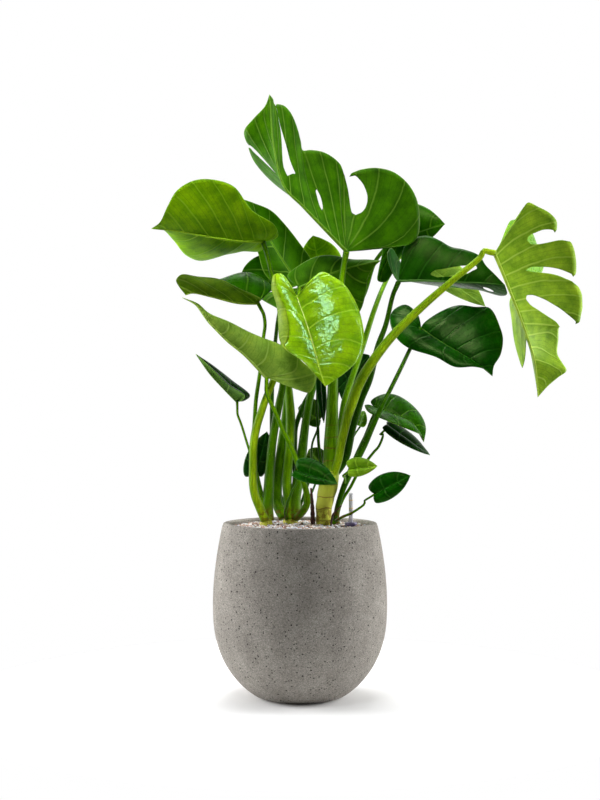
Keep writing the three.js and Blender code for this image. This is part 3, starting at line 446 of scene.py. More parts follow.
def tube_grid(centres, radii, sides, first):
    """Places and quads of a tube along centres, closed at both ends, numbered from `first`."""
    centres = np.asarray(centres, float)
    radii = np.asarray(radii, float)
    tangents = unit(np.gradient(centres, axis=0))
    side = np.cross(tangents[0], (0.0, 0.0, 1.0) if abs(tangents[0][2]) < 0.9 else (0.0, 1.0, 0.0))
    side = side / np.linalg.norm(side)
    turns = np.arange(sides) / sides * 2 * math.pi
    places = []
    for centre, tangent, radius in zip(centres, tangents, radii):
        side = side - tangent * np.dot(side, tangent)
        side = side / np.linalg.norm(side)
        other = np.cross(tangent, side)
        places.append(centre + radius * (np.outer(np.cos(turns), side) + np.outer(np.sin(turns), other)))
    count = len(centres)
    quads = []
    for step in range(count - 1):
        for corner in range(sides):
            a = first + step * sides + corner
            b = first + step * sides + (corner + 1) % sides
            quads.append((a, b, b + sides, a + sides))
    quads.append(tuple(first + corner for corner in reversed(range(sides))))
    quads.append(tuple(first + (count - 1) * sides + corner for corner in range(sides)))
    return np.vstack(places), quads, np.tile(turns, count)


def leaf_mesh(name, plan, materials, wave):
    """A blade with its upper and lower faces, and the midrib that stands out below."""
    plan = {**plan, **(heart(*plan["heart"]) if "heart" in plan else {})}
    rib = [sighted(place) for place in plan["rib"]]
    halves = []
    for side, sign in (("left", -1), ("right", 1)):
        halves.append(Half(rib, plan[side], plan.get(side + "_form", {}), plan.get(side + "_slits", []), sign,
                           wave))
    places, faces, numbers = [], [], []
    keys = ("phase", "spacing", "from_rib", "from_edge", "out", "lower")
    values = {key: [] for key in keys}
    count = 0
    for half, mirrored in zip(halves, (True, False)):
        grid = half_grid(half)
        edge = np.clip(grid["from_edge"] / 6, 0, 1)
        thickness = EDGE_THICKNESS + (BLADE_THICKNESS - EDGE_THICKNESS) * smooth(edge)
        lift = grid["normals"] * thickness[:, None] / 2
        size = len(grid["places"])
        places += [grid["places"] + lift, grid["places"] - lift]
        quads = [quad if not mirrored else quad[::-1] for quad in grid["quads"]]
        a, b, c = (grid["places"][list(quads[len(quads) // 2])[i]] for i in range(3))
        if np.dot(np.cross(b - a, c - a), half.normal) < 0:
            quads = [quad[::-1] for quad in quads]
        for quad in quads:
            faces.append(tuple(count + i for i in quad))
            numbers.append(0)
        for quad in quads:
            faces.append(tuple(count + size + i for i in reversed(quad)))
            numbers.append(1)
        for start, end in open_edges(quads):
            faces.append((count + start, count + size + start, count + size + end, count + end))
            numbers.append(1)
        for key in keys[:-1]:
            values[key] += [grid[key], grid[key]]
        values["lower"] += [np.zeros(size), np.ones(size)]
        count += 2 * size
    centres, share = even_places(rib, 4)
    above = unit(halves[0].normal + halves[1].normal)
    knee = plan["knee"]
    radii = 0.6 + (knee * 0.72 - 0.6) * (1 - share) ** 0.8
    tube, quads, _ = tube_grid(centres - above * (radii * 0.62)[:, None], radii, 10, count)
    places.append(tube)
    faces += quads
    numbers += [1] * len(quads)
    size = len(tube)
    values["phase"].append(np.full(size, 0.5))
    values["spacing"].append(np.full(size, 30.0))
    values["from_rib"].append(np.zeros(size))
    values["from_edge"].append(np.full(size, 30.0))
    values["out"].append(np.zeros(size))
    values["lower"].append(np.ones(size))
    attributes = {key: np.concatenate(parts) for key, parts in values.items()}
    stacked = kept_inside(np.vstack(places))
    return mesh_piece(name, stacked, faces, attributes, numbers, materials)


def rolled_margin_mesh(name, plan, roll, materials, wave):
    """The strip of a leaf's margin that has rolled over onto the upper face: `roll` lists places round the
    right half's margin with the strip's width in mm."""
    half = Half([sighted(place) for place in plan["rib"]], plan["right"], plan["right_form"], [], 1, wave)
    u = np.linspace(roll[0][0], roll[-1][0], ROLL_COLUMNS)
    width = np.interp(u, [place for place, _ in roll], [reach for _, reach in roll])
    reach = np.linalg.norm(curve_places(half.margin, u) - curve_places(half.rib, half.rib_share(u)), axis=1)
    across = np.linspace(0, 1, ROLL_ROWS)
    v = 1 - (width / reach)[:, None] * across[None, :]
    middle = half.places(np.repeat(u[:, None], ROLL_ROWS, axis=1), v)
    bulge = (0.5 + 1.1 * np.minimum(1, width / 12))[:, None] * np.sin(across * 2.4)[None, :]
    outer = (middle + half.normal * (BLADE_THICKNESS / 2 + 0.25 + bulge)[..., None]).reshape(-1, 3)
    places = np.vstack([outer, outer - half.normal * ROLL_THICKNESS])
    size = len(outer)
    quads = []
    for column in range(ROLL_COLUMNS - 1):
        for row in range(ROLL_ROWS - 1):
            corner = column * ROLL_ROWS + row
            quads.append((corner, corner + ROLL_ROWS, corner + ROLL_ROWS + 1, corner + 1))
    faces = quads + [tuple(size + i for i in reversed(quad)) for quad in quads]
    faces += [(start, size + start, size + end, end) for start, end in open_edges(quads)]
    flat = np.tile(v.ravel(), 2)
    attributes = {
        "phase": np.tile(half.phase(np.repeat(u, ROLL_ROWS), v.ravel()), 2),
        "spacing": np.full(len(flat), 60.0),
        "from_rib": np.full(len(flat), 30.0), "from_edge": np.full(len(flat), 30.0), "out": flat,
        "lower": np.ones(len(flat)),
    }
    return mesh_piece(name, kept_inside(places), faces, attributes, None, materials)


def kept_inside(places):
    """Places in mm, moved by the little that any of them lies outside the CAD model's box."""
    low = np.array(CAD_BOX[0]) / MM + 0.05
    high = np.array(CAD_BOX[1]) / MM - 0.05
    return np.clip(places, low, high)


# ---------------------------------------------------------------- stalks and roots


def stalk_route(stalk):
    """The stalk's places from the crown to the foot of the leaf that it carries."""
    route = [sighted(place) for place in stalk["route"]]
    if stalk["leaf"]:
        plan = LEAVES[stalk["leaf"]]
        foot = (plan["heart"][0] if "heart" in plan else plan["rib"][0])
        foot = np.array(sighted(foot))
        out = unit(np.array(route[-1]) - foot)
        if np.linalg.norm(np.array(route[-1]) - foot) < 42:
            route.pop()
        route += [tuple(foot + out * 26), tuple(foot + out * 12), tuple(foot)]
    return route


def stalk_radii(stalk, share):
    """Radii along the stalk, with a faint swelling at the knee below the leaf."""
    radii = stalk["radii"]
    places = [(i, radius, 0) for i, radius in enumerate(radii)]
    radius = curve_places(places, share)[:, 1]
    if stalk["leaf"]:
        radius = radius * (1 + 0.16 * np.exp(-((1 - share) / 0.035) ** 2))
    return radius


STALK_SIDES = 16

# The thick foot of a shoot: heights in mm, with the share of the crown's radius there.
CROWN_OUTLINE = ((279, 0.98), (300, 0.98), (330, 0.96), (345, 0.9), (353, 0.72), (358, 0.4))

# How pale each leaf's stalk is, from 0 for dark green to 1 for straw.
STALK_TONES = {
    None: 0.8, "leaf_front_young": 0.72, "leaf_left_round": 0.34, "leaf_left_folded": 0.4,
    "leaf_left_small": 0.42, "leaf_low_left": 0.3, "leaf_left_back": 0.4, "leaf_middle_wide": 0.52,
    "leaf_crown_back": 0.1, "leaf_left_dark": 0.05, "leaf_crown_right": 0.3, "leaf_left_long": 0.5,
    "leaf_rim_front": 0.3, "leaf_inner_left": 0.05, "leaf_inner_small": 0.1, "leaf_crown_split": 0.5,
    "leaf_right_split": 0.72, "leaf_right_dark_split": 0.12, "leaf_right_back": 0.5, "leaf_inner_right": 0.1,
    "leaf_inner_hanging": 0.1, "leaf_inner_rolled": 0.2, "leaf_right_glossy": 0.2,
    "leaf_low_right_curved": 0.3, "leaf_low_right_narrow": 0.34, "leaf_low_right_round": 0.4,
    "leaf_rim_right": 0.3,
}


def shoot_mesh(name, plan, material):
    """All stalks of a shoot, each a smooth tapered tube, and the thick foot that they rise from."""
    places, faces = [], []
    tone, thickness, beside = [], [], []
    count = 0
    source = random.Random(SEED + len(name))
    for stalk in plan["stalks"]:
        route = stalk_route(stalk)
        centres, share = even_places(route, 5)
        radii = stalk_radii(stalk, share)
        bend = np.array([source.uniform(-1, 1) for _ in range(3)])
        centres = centres + 0.5 * np.sin(share * 26)[:, None] * bend
        tube, quads, _ = tube_grid(centres, radii, STALK_SIDES, count)
        places.append(tube)
        faces += quads
        size = len(tube)
        tone.append(np.full(size, STALK_TONES.get(stalk["leaf"], 0.5)))
        thickness.append(np.repeat(radii, STALK_SIDES))
        # Where each place lies round its stalk across X, from -1 to 1: the skin paints shade and highlight by
        # it.
        beside.append((tube - np.repeat(centres, STALK_SIDES, axis=0))[:, 0] / np.repeat(radii, STALK_SIDES))
        count += size
    right, away, radius = plan["crown"]
    foot = [(right, away, height) for height, _ in CROWN_OUTLINE]
    radii = [radius * part for _, part in CROWN_OUTLINE]
    tube, quads, turns = tube_grid(foot, radii, 24, count)
    places.append(tube)
    faces += quads
    size = len(tube)
    tone.append(np.full(size, 0.35))
    thickness.append(np.full(size, radius))
    # The same for the foot, for its painted shade and highlight.
    beside.append(np.cos(turns))
    attributes = {
        "tone": np.concatenate(tone), "thickness": np.concatenate(thickness), "side": np.concatenate(beside),
    }
    return mesh_piece(name, kept_inside(np.vstack(places)), faces, attributes, None, [material])


def root_mesh(name, plan, material):
    """One root, tapered and slightly knotted."""
    centres, share = even_places([sighted(place) for place in plan["route"]], 1.5)
    places = [(i, radius, 0) for i, radius in enumerate(plan["radii"])]
    radii = curve_places(places, share)[:, 1] * (1 + 0.08 * np.sin(share * 40))
    tube, quads, _ = tube_grid(centres, radii, 12, 0)
    return mesh_piece(name, kept_inside(tube), quads, None, None, [material])


# ---------------------------------------------------------------- planter, granules and gauge


def pot_radius(height):
    """Outer radius of the planter at a height."""
    if height >= POT_BELLY_HEIGHT:
        rise = (height - POT_BELLY_HEIGHT) / (POT_HEIGHT - POT_BELLY_HEIGHT)
        return POT_BELLY_RADIUS - (POT_BELLY_RADIUS - POT_RIM_RADIUS) * rise ** 1.8
    drop = (POT_BELLY_HEIGHT - height) / POT_BELLY_HEIGHT
    return POT_BASE_RADIUS + (POT_BELLY_RADIUS - POT_BASE_RADIUS) * (1 - drop ** 2.6) ** 0.8


def rounded(corner, start, end, steps=5):
    """Points of a round between two profile points about a corner."""
    points = []
    for step in range(steps + 1):
        t = step / steps
        points.append(tuple((1 - t) ** 2 * s + 2 * t * (1 - t) * c + t ** 2 * e
                            for s, c, e in zip(start, corner, end)))
    return points


def turned_mesh(name, profile, sides, at, material, closed=True):
    """A body turned about an upright axis: [radius, height] points drawn by extruding a corner, then spun."""
    if closed:
        profile = [(0, profile[0][1]), *profile, (0, profile[-1][1])]
    bpy.ops.mesh.primitive_plane_add(size=MM)
    piece = bpy.context.object
    piece.name = piece.data.name = name
    bpy.ops.object.mode_set(mode="EDIT")
    bpy.ops.mesh.select_all(action="SELECT")
    bpy.ops.mesh.merge(type="CENTER")
    bpy.ops.transform.translate(value=((at[0] + profile[0][0]) * MM, at[1] * MM, profile[0][1] * MM))
    for before, after in zip(profile, profile[1:]):
        step = ((after[0] - before[0]) * MM, 0, (after[1] - before[1]) * MM)
        bpy.ops.mesh.extrude_vertices_move(TRANSFORM_OT_translate={"value": step})
    bpy.ops.mesh.select_all(action="SELECT")
    bpy.ops.mesh.spin(steps=sides, angle=2 * math.pi, center=(at[0] * MM, at[1] * MM, 0), axis=(0, 0, 1))
    bpy.ops.mesh.select_all(action="SELECT")
    bpy.ops.mesh.remove_doubles(threshold=0.002 * MM)
    bpy.ops.mesh.normals_make_consistent(inside=False)
    bpy.ops.object.mode_set(mode="OBJECT")
    bpy.ops.object.shade_smooth()
    places = np.empty(3 * len(piece.data.vertices), dtype=np.float32)
    piece.data.vertices.foreach_get("co", places)
    places = np.asarray(kept_inside(places.reshape(-1, 3) / MM), dtype=np.float32) * MM
    piece.data.vertices.foreach_set("co", places.ravel())
    piece.data.update()
    piece.data.materials.append(material)
    return piece


def pot_mesh(material):
    """The planter: rounded foot, belly, rounded rim and the wall's inner face down to its floor."""
    profile = rounded((POT_BASE_RADIUS, 0), (POT_BASE_RADIUS - 5, 0), (POT_BASE_RADIUS + 2.5, 3))
    for height in np.concatenate([np.linspace(5, 60, 14), np.linspace(66, POT_HEIGHT - 6, 34)]):
        profile.append((pot_radius(height), height))
    rim, inner = POT_RIM_RADIUS, POT_RIM_RADIUS - POT_WALL
    profile += rounded((rim, POT_HEIGHT), (rim, POT_HEIGHT - 4), (rim - 4, POT_HEIGHT))
    profile += rounded((inner, POT_HEIGHT), (inner + 4, POT_HEIGHT), (inner, POT_HEIGHT - 4))
    for height in (338, 320, 280, 230, 188, 140, 90, 55):
        profile.append((pot_radius(height) - POT_WALL, height))
    profile.append((pot_radius(POT_FLOOR) - POT_WALL - 4, POT_FLOOR))
    return turned_mesh("planter", profile, 144, (0, 0), material)


def fill_height(radius):
    """The filling's mean height at a radius."""
    edge = POT_RIM_RADIUS - POT_WALL
    return FILL_EDGE_HEIGHT - BED_DROP + FILL_CROWN * (1 - (radius / edge) ** 2)


def bed_mesh(material):
    """The bed of fine granules under the loose ones, filling the planter below."""
    profile = [(30, POT_FLOOR + 1)]
    for height in (21, 55, 110, 188, 280, 330):
        profile.append((pot_radius(height) - POT_WALL - 0.5, height))
    for radius in (136, 120, 100, 80, 60, 40, 20, 6):
        profile.append((radius, fill_height(radius) - 1.5))
    return turned_mesh("granule_bed", profile, 96, (0, 0), material)


def granule_shape(source):
    """Corners and faces of one broken granule: a cube pulled out of true."""
    mesh_faces = [(0, 1, 3, 2), (4, 6, 7, 5), (0, 4, 5, 1), (2, 3, 7, 6), (0, 2, 6, 4), (1, 5, 7, 3)]
    corners = []
    for x in (-1, 1):
        for y in (-1, 1):
            for z in (-1, 1):
                corners.append([c * source.uniform(0.55, 1.0) for c in (x, y, z)])
    return np.array(corners), mesh_faces


def granules_mesh(material, seed, tries):
    """Loose broken granules over the whole bed, as one mesh with one tone for each granule."""
    source = random.Random(seed)
    shapes = [bevelled_granule(source) for _ in range(GRANULE_SHAPES)]
    places, faces, tones = [], [], []
    count = 0
    edge = POT_RIM_RADIUS - POT_WALL - 3.5
    taken = [(plan["crown"][0], plan["crown"][1], plan["crown"][2] * 0.9) for plan in SHOOTS.values()]
    taken.append((GAUGE_AT[0], GAUGE_AT[1], 10))
    for _ in range(tries):
        radius = edge * math.sqrt(source.random())
        turn = source.uniform(0, 2 * math.pi)
        x, y = radius * math.cos(turn), radius * math.sin(turn)
        if any(math.hypot(x - cx, y - cy) < reach for cx, cy, reach in taken):
            continue
        size = source.choice(GRANULE_HALF_WIDTHS)
        corners, shape_faces = source.choice(shapes)
        spin = rotation(source)
        height = fill_height(radius) + source.uniform(-1.5, 2.8)
        body = (corners * size) @ spin.T + np.array([x, y, height])
        places.append(body)
        faces += [tuple(count + i for i in face) for face in shape_faces]
        tones.append(np.full(len(corners), source.random()))
        count += len(corners)
    piece = mesh_piece("granules", kept_inside(np.vstack(places)), faces, {"tone": np.concatenate(tones)},
                       None, [material])
    piece.data.polygons.foreach_set("use_smooth", np.zeros(len(piece.data.polygons), dtype=bool))
    return piece


def rotation(source):
    """A random turn as a matrix."""
    axis = unit(np.array([source.gauss(0, 1) for _ in range(3)]))
    angle = source.uniform(0, 2 * math.pi)
    x, y, z = axis
    c, s = math.cos(angle), math.sin(angle)
    return np.array([
        [c + x * x * (1 - c), x * y * (1 - c) - z * s, x * z * (1 - c) + y * s],
        [y * x * (1 - c) + z * s, c + y * y * (1 - c), y * z * (1 - c) - x * s],
        [z * x * (1 - c) - y * s, z * y * (1 - c) + x * s, c + z * z * (1 - c)],
    ])


def bevelled_granule(source):
    """Corners and faces of one broken granule with worn corners."""
    corners, shape_faces = granule_shape(source)
    work = bmesh.new()
    made = [work.verts.new(corner) for corner in corners]
    for face in shape_faces:
        work.faces.new([made[i] for i in face])
    bmesh.ops.bevel(work, geom=list(work.edges) + list(work.verts), offset=0.28, segments=1, affect="EDGES")
    work.verts.index_update()
    points = np.array([tuple(vertex.co) for vertex in work.verts])
    polygons = [tuple(vertex.index for vertex in face.verts) for face in work.faces]
    work.free()
    return points, polygons


def gauge_casing_mesh(material):
    """The gauge's casing: a stem in the granules, a cap with rounded edges and its open bore."""
    seat = FILL_EDGE_HEIGHT + FILL_CROWN
    foot = FILL_EDGE_HEIGHT - PLANTING_DEPTH
    profile = [(4, foot), (8, foot), (8, seat), (11.4, seat)]
    profile += rounded((12, seat), (11.4, seat), (12, seat + 0.8), 3)
    profile += rounded((12, seat + 6), (12, seat + 3.6), (9, seat + 6), 5)
    profile += [(6.4, seat + 6), (5.6, seat + 5.4), (4.7, seat + 5.2), (4.7, foot + CASING_FLOOR)]
    return turned_mesh("gauge_casing_piece", profile, 40, GAUGE_AT, material)


def gauge_tube_mesh(material):
    """The clear tube with its closed round top."""
    foot = FILL_EDGE_HEIGHT - PLANTING_DEPTH + CASING_FLOOR + 0.5
    top = GAUGE_TOP - 0.2
    profile = [(2.7, foot), (4.3, foot), (4.3, top - 4)]
    profile += rounded((4.3, top), (4.3, top - 4), (0.4, top), 7)
    profile += [(0.4, top - 1.4)]
    profile += rounded((2.7, top - 1.4), (0.4, top - 1.4), (2.7, top - 5), 5)
    profile += [(2.7, foot)]
    return turned_mesh("gauge_tube_piece", profile, 32, GAUGE_AT, material, closed=False)


def gauge_rod_mesh(material):
    """The float's red rod inside the tube."""
    foot = FILL_EDGE_HEIGHT - PLANTING_DEPTH + CASING_FLOOR + 1
    top = FILL_EDGE_HEIGHT + FILL_CROWN + 16
    profile = [(0.3, foot), (1.3, foot), (1.3, top - 1)] + rounded((1.3, top), (1.3, top - 1), (0.2, top), 4)
    return turned_mesh("gauge_rod_piece", profile, 20, GAUGE_AT, material)


# ---------------------------------------------------------------- places of the leaves and stalks
# Each place is (right, up, away) in the front view, in mm. A blade is given by its midrib from the stalk to
# the tip and by its left and right margins from the sinus round the base lobe to the tip, as seen on its
# upper side with the tip pointing away. A stalk goes from its crown to the leaf that it carries.

LEAVES = {
    "leaf_crown_split": {
        "slot": "leaf_mid",
        "knee": 5,
        "rib": [
            (93, 889, -40), (55, 928, -50), (6, 979, -60), (-31, 1018, -62), (-52, 1097, -60),
            (-61, 1203, -50)
        ],
        "left": [
            (145, 896, -20), (230, 910, 10), (238, 975, 20), (222, 1018, 18), (190, 1047, 15),
            (154, 1056, 10), (123, 1053, 6), (99, 1046, 4), (88, 1051, 2), (81, 1064, 0), (66, 1077, -2),
            (44, 1088, -5), (20, 1092, -9), (6, 1092, -12), (2, 1110, -14), (-6, 1138, -16),
            (-18, 1165, -20), (-31, 1180, -26), (-44, 1184, -34), (-51, 1184, -38), (-54, 1194, -44)
        ],
        "left_form": {"fan": 0.42, "sweep": 1.4, "arch": 10},
        "left_slits": [
            {
                "at": 0.286, "from": 0.45,
                "before": [
                    (0.48, 0.262), (0.52, 0.254), (0.59, 0.254), (0.67, 0.263), (0.75, 0.28),
                    (0.85, 0.306), (0.95, 0.339), (1, 0.362)
                ],
                "after": [
                    (0.48, 0.31), (0.55, 0.327), (0.7, 0.346), (0.84, 0.364), (0.92, 0.386), (1, 0.41)
                ],
            },
            {
                "at": 0.588, "from": 0.3,
                "before": [(0.34, 0.579), (0.38, 0.575), (0.48, 0.576), (0.55, 0.588)],
                "after": [(0.34, 0.596), (0.45, 0.598), (0.53, 0.596), (0.55, 0.588)],
            },
            {
                "at": 0.8, "from": 0.2,
                "before": [
                    (0.3, 0.768), (0.36, 0.748), (0.39, 0.762), (0.44, 0.779), (0.53, 0.797),
                    (0.62, 0.819), (0.71, 0.842), (0.81, 0.861), (1, 0.891)
                ],
                "after": [
                    (0.24, 0.823), (0.37, 0.831), (0.52, 0.835), (0.68, 0.845), (0.8, 0.864), (1, 0.894)
                ],
            },
        ],
        "right": [
            (115, 925, 40), (66, 956, 90), (2, 986, 90), (-48, 1022, 60), (-92, 1070, 16),
            (-106, 1102, -20), (-111, 1130, -35), (-92, 1156, -45), (-70, 1180, -48)
        ],
        "right_form": {"fan": 0.25, "arch": 8},
        "right_slits": [
            {
                "at": 0.6, "from": 0.35,
                "before": [(0.42, 0.588), (0.55, 0.58), (0.74, 0.576), (0.9, 0.58), (1, 0.592)],
                "after": [(0.42, 0.617), (0.55, 0.631), (0.74, 0.636), (0.9, 0.63), (1, 0.612)],
            },
        ],
    },
    "leaf_left_round": {
        "slot": "leaf_mid",
        "knee": 4.2,
        "rib": [(-74, 910, -5), (-112, 910, -20), (-165, 916, -40), (-247, 930, -55), (-297, 935, -60)],
        "left": [
            (-45, 918, -15), (-51, 942, -40), (-96, 971, -70), (-133, 1020, -95), (-178, 1034, -105),
            (-214, 1030, -105), (-247, 1010, -100), (-265, 980, -90), (-280, 948, -75)
        ],
        "left_form": {"fan": 0.25, "arch": -10},
        "right": [
            (-78, 890, 25), (-119, 890, 45), (-157, 881, 50), (-198, 869, 45), (-227, 881, 25),
            (-253, 912, -15), (-277, 934, -50)
        ],
        "right_form": {"fan": 0.25, "arch": -8},
    },
    "leaf_left_back": {
        "slot": "leaf_mid",
        "knee": 3.6,
        "rib": [(-1, 822, 95), (-40, 880, 90), (-80, 945, 75), (-112, 993, 60)],
        "left": [
            (26, 832, 110), (24, 870, 120), (0, 906, 115), (-33, 946, 100), (-60, 972, 85), (-92, 986, 70)
        ],
        "left_form": {},
        "right": [(-28, 815, 105), (-68, 842, 115), (-84, 884, 110), (-98, 946, 85)],
        "right_form": {},
    },
    "leaf_crown_back": {
        "slot": "leaf_bright",
        "knee": 3,
        "heart": [(42, 838, 150), (26, 921, 130), (2, 868, 140), (82, 880, 150)],
    },
    "leaf_left_folded": {
        "slot": "leaf_bright",
        "knee": 3.4,
        "rib": [(-84, 786, -15), (-125, 787, -38), (-177, 799, -62), (-215, 806, -76), (-229, 802, -80)],
        "left": [
            (-80, 796, -32), (-122, 815, -62), (-161, 833, -90), (-205, 839, -106), (-237, 844, -104),
            (-248, 832, -95), (-243, 820, -88)
        ],
        "left_form": {"arch": 5},
        "right": [
            (-72, 797, 2), (-56, 819, 22), (-84, 841, 32), (-112, 847, 36), (-161, 834, 20),
            (-200, 822, -10), (-222, 811, -55)
        ],
        "right_form": {"arch": 6},
    },
    "leaf_left_dark": {
        "slot": "leaf_dark",
        "knee": 3,
        "heart": [(-40, 872, 150), (-82, 795, 150), (-116, 848, 140), (-22, 845, 160)],
    },
    "leaf_middle_wide": {
        "slot": "leaf_mid",
        "knee": 4,
        "rib": [(-1, 816, 30), (45, 838, 30), (105, 858, 20), (162, 871, 5)],
        "left": [
            (-42, 812, 60), (-80, 798, 80), (-49, 777, 70), (0, 752, 50), (60, 738, 35), (116, 764, 30),
            (132, 808, 25), (136, 838, 20), (150, 860, 12)
        ],
        "left_form": {"arch": -8},
        "right": [
            (-25, 840, 45), (2, 863, 50), (35, 879, 50), (63, 882, 45), (104, 874, 35), (136, 873, 20)
        ],
        "right_form": {"arch": -6},
    },
    "leaf_front_young": {
        "slot": "leaf_young",
        "knee": 4.4,
        "rib": [(-6, 797, -112), (14, 742, -132), (30, 689, -146), (41, 648, -152), (51, 619, -152)],
        "left": [
            (6, 812, -118), (32, 842, -112), (46, 848, -110), (67, 838, -108), (88, 824, -108),
            (108, 795, -110), (122, 759, -114), (128, 710, -120), (116, 673, -130), (92, 648, -138),
            (70, 632, -146)
        ],
        "left_form": {"fan": 0.3, "arch": 12},
        "right": [
            (-18, 822, -112), (-38, 845, -104), (-53, 842, -98), (-57, 815, -98), (-47, 783, -104),
            (-43, 742, -110), (-41, 712, -116), (-28, 692, -124), (6, 669, -136), (30, 642, -146)
        ],
        "right_form": {"fan": 0.3, "arch": 10},
    },
    "leaf_left_long": {
        "slot": "leaf_mid",
        "knee": 3.6,
        "rib": [
            (-67, 637, -66), (-110, 682, -84), (-148, 713, -98), (-184, 751, -108), (-208, 782, -114),
            (-235, 797, -118)
        ],
        "left": [
            (-34, 628, -66), (2, 610, -68), (20, 607, -66), (33, 642, -62), (18, 657, -62),
            (-36, 701, -66), (-78, 718, -72), (-103, 729, -80), (-142, 749, -92), (-182, 766, -104),
            (-204, 785, -112)
        ],
        "left_form": {"fan": 0.45, "arch": -7},
        "right": [
            (-72, 640, -40), (-108, 684, -26), (-148, 716, -44), (-186, 754, -78), (-212, 786, -106)
        ],
        "right_form": {"arch": -4},
    },
    "leaf_left_small": {
        "slot": "leaf_dark",
        "knee": 2.4,
        "rib": [(-126, 589, -40), (-150, 613, -52), (-180, 645, -66), (-208, 684, -72)],
        "left": [
            (-118, 590, -56), (-110, 600, -70), (-142, 620, -84), (-174, 652, -86), (-196, 674, -80)
        ],
        "left_form": {},
        "right": [
            (-112, 590, -26), (-99, 602, -14), (-135, 632, -18), (-166, 655, -40), (-190, 672, -60)
        ],
        "right_form": {},
    },
    "leaf_low_left": {
        "slot": "leaf_dark",
        "knee": 2.2,
        "heart": [(-88, 446, 34), (-66, 529, 40), (-109, 478, 30), (-58, 478, 48)],
    },
    "leaf_right_split": {
        "slot": "leaf_bright",
        "knee": 5,
        "rib": [
            (390, 886, -60), (406, 848, -66), (425, 800, -72), (441, 759, -76), (457, 714, -76),
            (470, 669, -70), (476, 598, -55)
        ],
        "left": [
            (402, 908, -15), (414, 938, 45), (422, 951, 75), (440, 950, 100), (464, 930, 120),
            (476, 900, 128), (486, 866, 128), (482, 846, 122), (456, 826, 112), (428, 806, 100),
            (418, 790, 92), (423, 752, 74), (431, 704, 52), (445, 656, 24), (438, 700, 40), (443, 735, 30),
            (452, 716, 10), (460, 690, -5), (467, 655, -20), (473, 618, -38)
        ],
        "left_form": {"fan": 0.2, "arch": 5},
        "right": [
            (415, 925, -45), (433, 952, -38), (446, 975, -30), (456, 987, -25), (475, 979, -20),
            (500, 966, -15), (514, 950, -12), (516, 930, -12), (538, 913, -12), (547, 895, -12),
            (552, 869, -12), (553, 840, -12), (556, 823, -12), (563, 807, -12), (566, 787, -13),
            (562, 764, -15), (556, 744, -18), (536, 741, -22), (520, 738, -26), (517, 713, -30),
            (515, 684, -34), (524, 667, -38), (533, 651, -42), (516, 637, -46), (496, 620, -50)
        ],
        "right_form": {"fan": 0.2, "arch": 8},
        "right_slits": [
            {
                "at": 0.265, "from": 0.52,
                "before": [
                    (0.55, 0.255), (0.6, 0.252), (0.68, 0.258), (0.78, 0.266), (0.9, 0.286), (1, 0.307)
                ],
                "after": [(0.55, 0.285), (0.66, 0.308), (0.77, 0.321), (0.9, 0.333), (1, 0.348)],
            },
            {
                "at": 0.38, "from": 0.31,
                "before": [
                    (0.39, 0.377), (0.52, 0.393), (0.66, 0.411), (0.78, 0.428), (0.9, 0.446), (1, 0.461)
                ],
                "after": [
                    (0.35, 0.389), (0.42, 0.402), (0.52, 0.415), (0.64, 0.43), (0.77, 0.447), (0.9, 0.47),
                    (1, 0.499)
                ],
            },
            {
                "at": 0.506, "from": 0.19,
                "before": [
                    (0.22, 0.488), (0.31, 0.491), (0.43, 0.521), (0.57, 0.564), (0.74, 0.603),
                    (0.86, 0.626), (1, 0.654)
                ],
                "after": [
                    (0.22, 0.54), (0.32, 0.578), (0.48, 0.615), (0.6, 0.637), (0.71, 0.667), (1, 0.731)
                ],
            },
        ],
    },
    "leaf_right_dark_split": {
        "slot": "leaf_dark",
        "knee": 4.6,
        "rib": [(197, 829, 20), (250, 830, 6), (310, 827, -8), (360, 826, -14), (410, 822, -18)],
        "left": [
            (204, 868, 20), (207, 896, 22), (227, 915, 22), (256, 920, 20), (280, 911, 14), (301, 899, 8),
            (329, 893, 2), (358, 881, -4), (372, 861, -10), (388, 845, -14)
        ],
        "left_form": {"fan": 0.3, "arch": 6},
        "left_slits": [
            {
                "at": 0.54, "from": 0.11,
                "before": [
                    (0.16, 0.495), (0.28, 0.51), (0.37, 0.567), (0.5, 0.65), (0.6, 0.72), (0.64, 0.745)
                ],
                "after": [(0.22, 0.676), (0.45, 0.737), (0.58, 0.758), (0.64, 0.745)],
            },
        ],
        "right": [
            (183, 850, 34), (174, 880, 54), (184, 896, 80), (215, 850, 112), (262, 826, 118),
            (320, 819, 92), (368, 812, 60), (400, 800, 30), (414, 804, 4)
        ],
        "right_form": {"fan": 0.35, "arch": 5},
        "right_slits": [oval(0.62, 0.2, 0.6, 0.025), oval(0.82, 0.25, 0.65, 0.022)],
    },
    "leaf_right_glossy": {
        "slot": "leaf_dark",
        "knee": 4,
        "rib": [(242, 736, 0), (278, 711, -14), (317, 688, -24), (355, 665, -30), (385, 640, -30)],
        "left": [
            (250, 748, 6), (285, 771, 14), (317, 781, 16), (350, 778, 12), (380, 776, 6), (401, 736, -4),
            (406, 714, -10), (401, 682, -18), (388, 660, -24)
        ],
        "left_form": {"fan": 0.2, "arch": 8},
        "right": [
            (236, 762, 8), (211, 783, 14), (186, 771, 14), (180, 749, 8), (192, 717, -2), (215, 697, -12),
            (272, 678, -30), (310, 658, -38), (349, 658, -38), (370, 653, -34)
        ],
        "right_form": {"fan": 0.42, "arch": 6},
    },
    "leaf_crown_right": {
        "slot": "leaf_mid",
        "knee": 3.6,
        "rib": [(196, 908, 100), (228, 924, 92), (262, 936, 82), (290, 944, 70)],
        "left": [(190, 932, 104), (204, 968, 104), (228, 984, 100), (254, 976, 92), (275, 960, 80)],
        "left_form": {},
        "right": [
            (186, 898, 98), (168, 904, 97), (163, 880, 97), (157, 852, 98), (156, 830, 98), (172, 828, 98),
            (188, 850, 102), (205, 884, 104), (238, 898, 96), (268, 920, 84)
        ],
        "right_form": {"fan": 0.66, "arch": 4},
    },
    "leaf_right_back": {
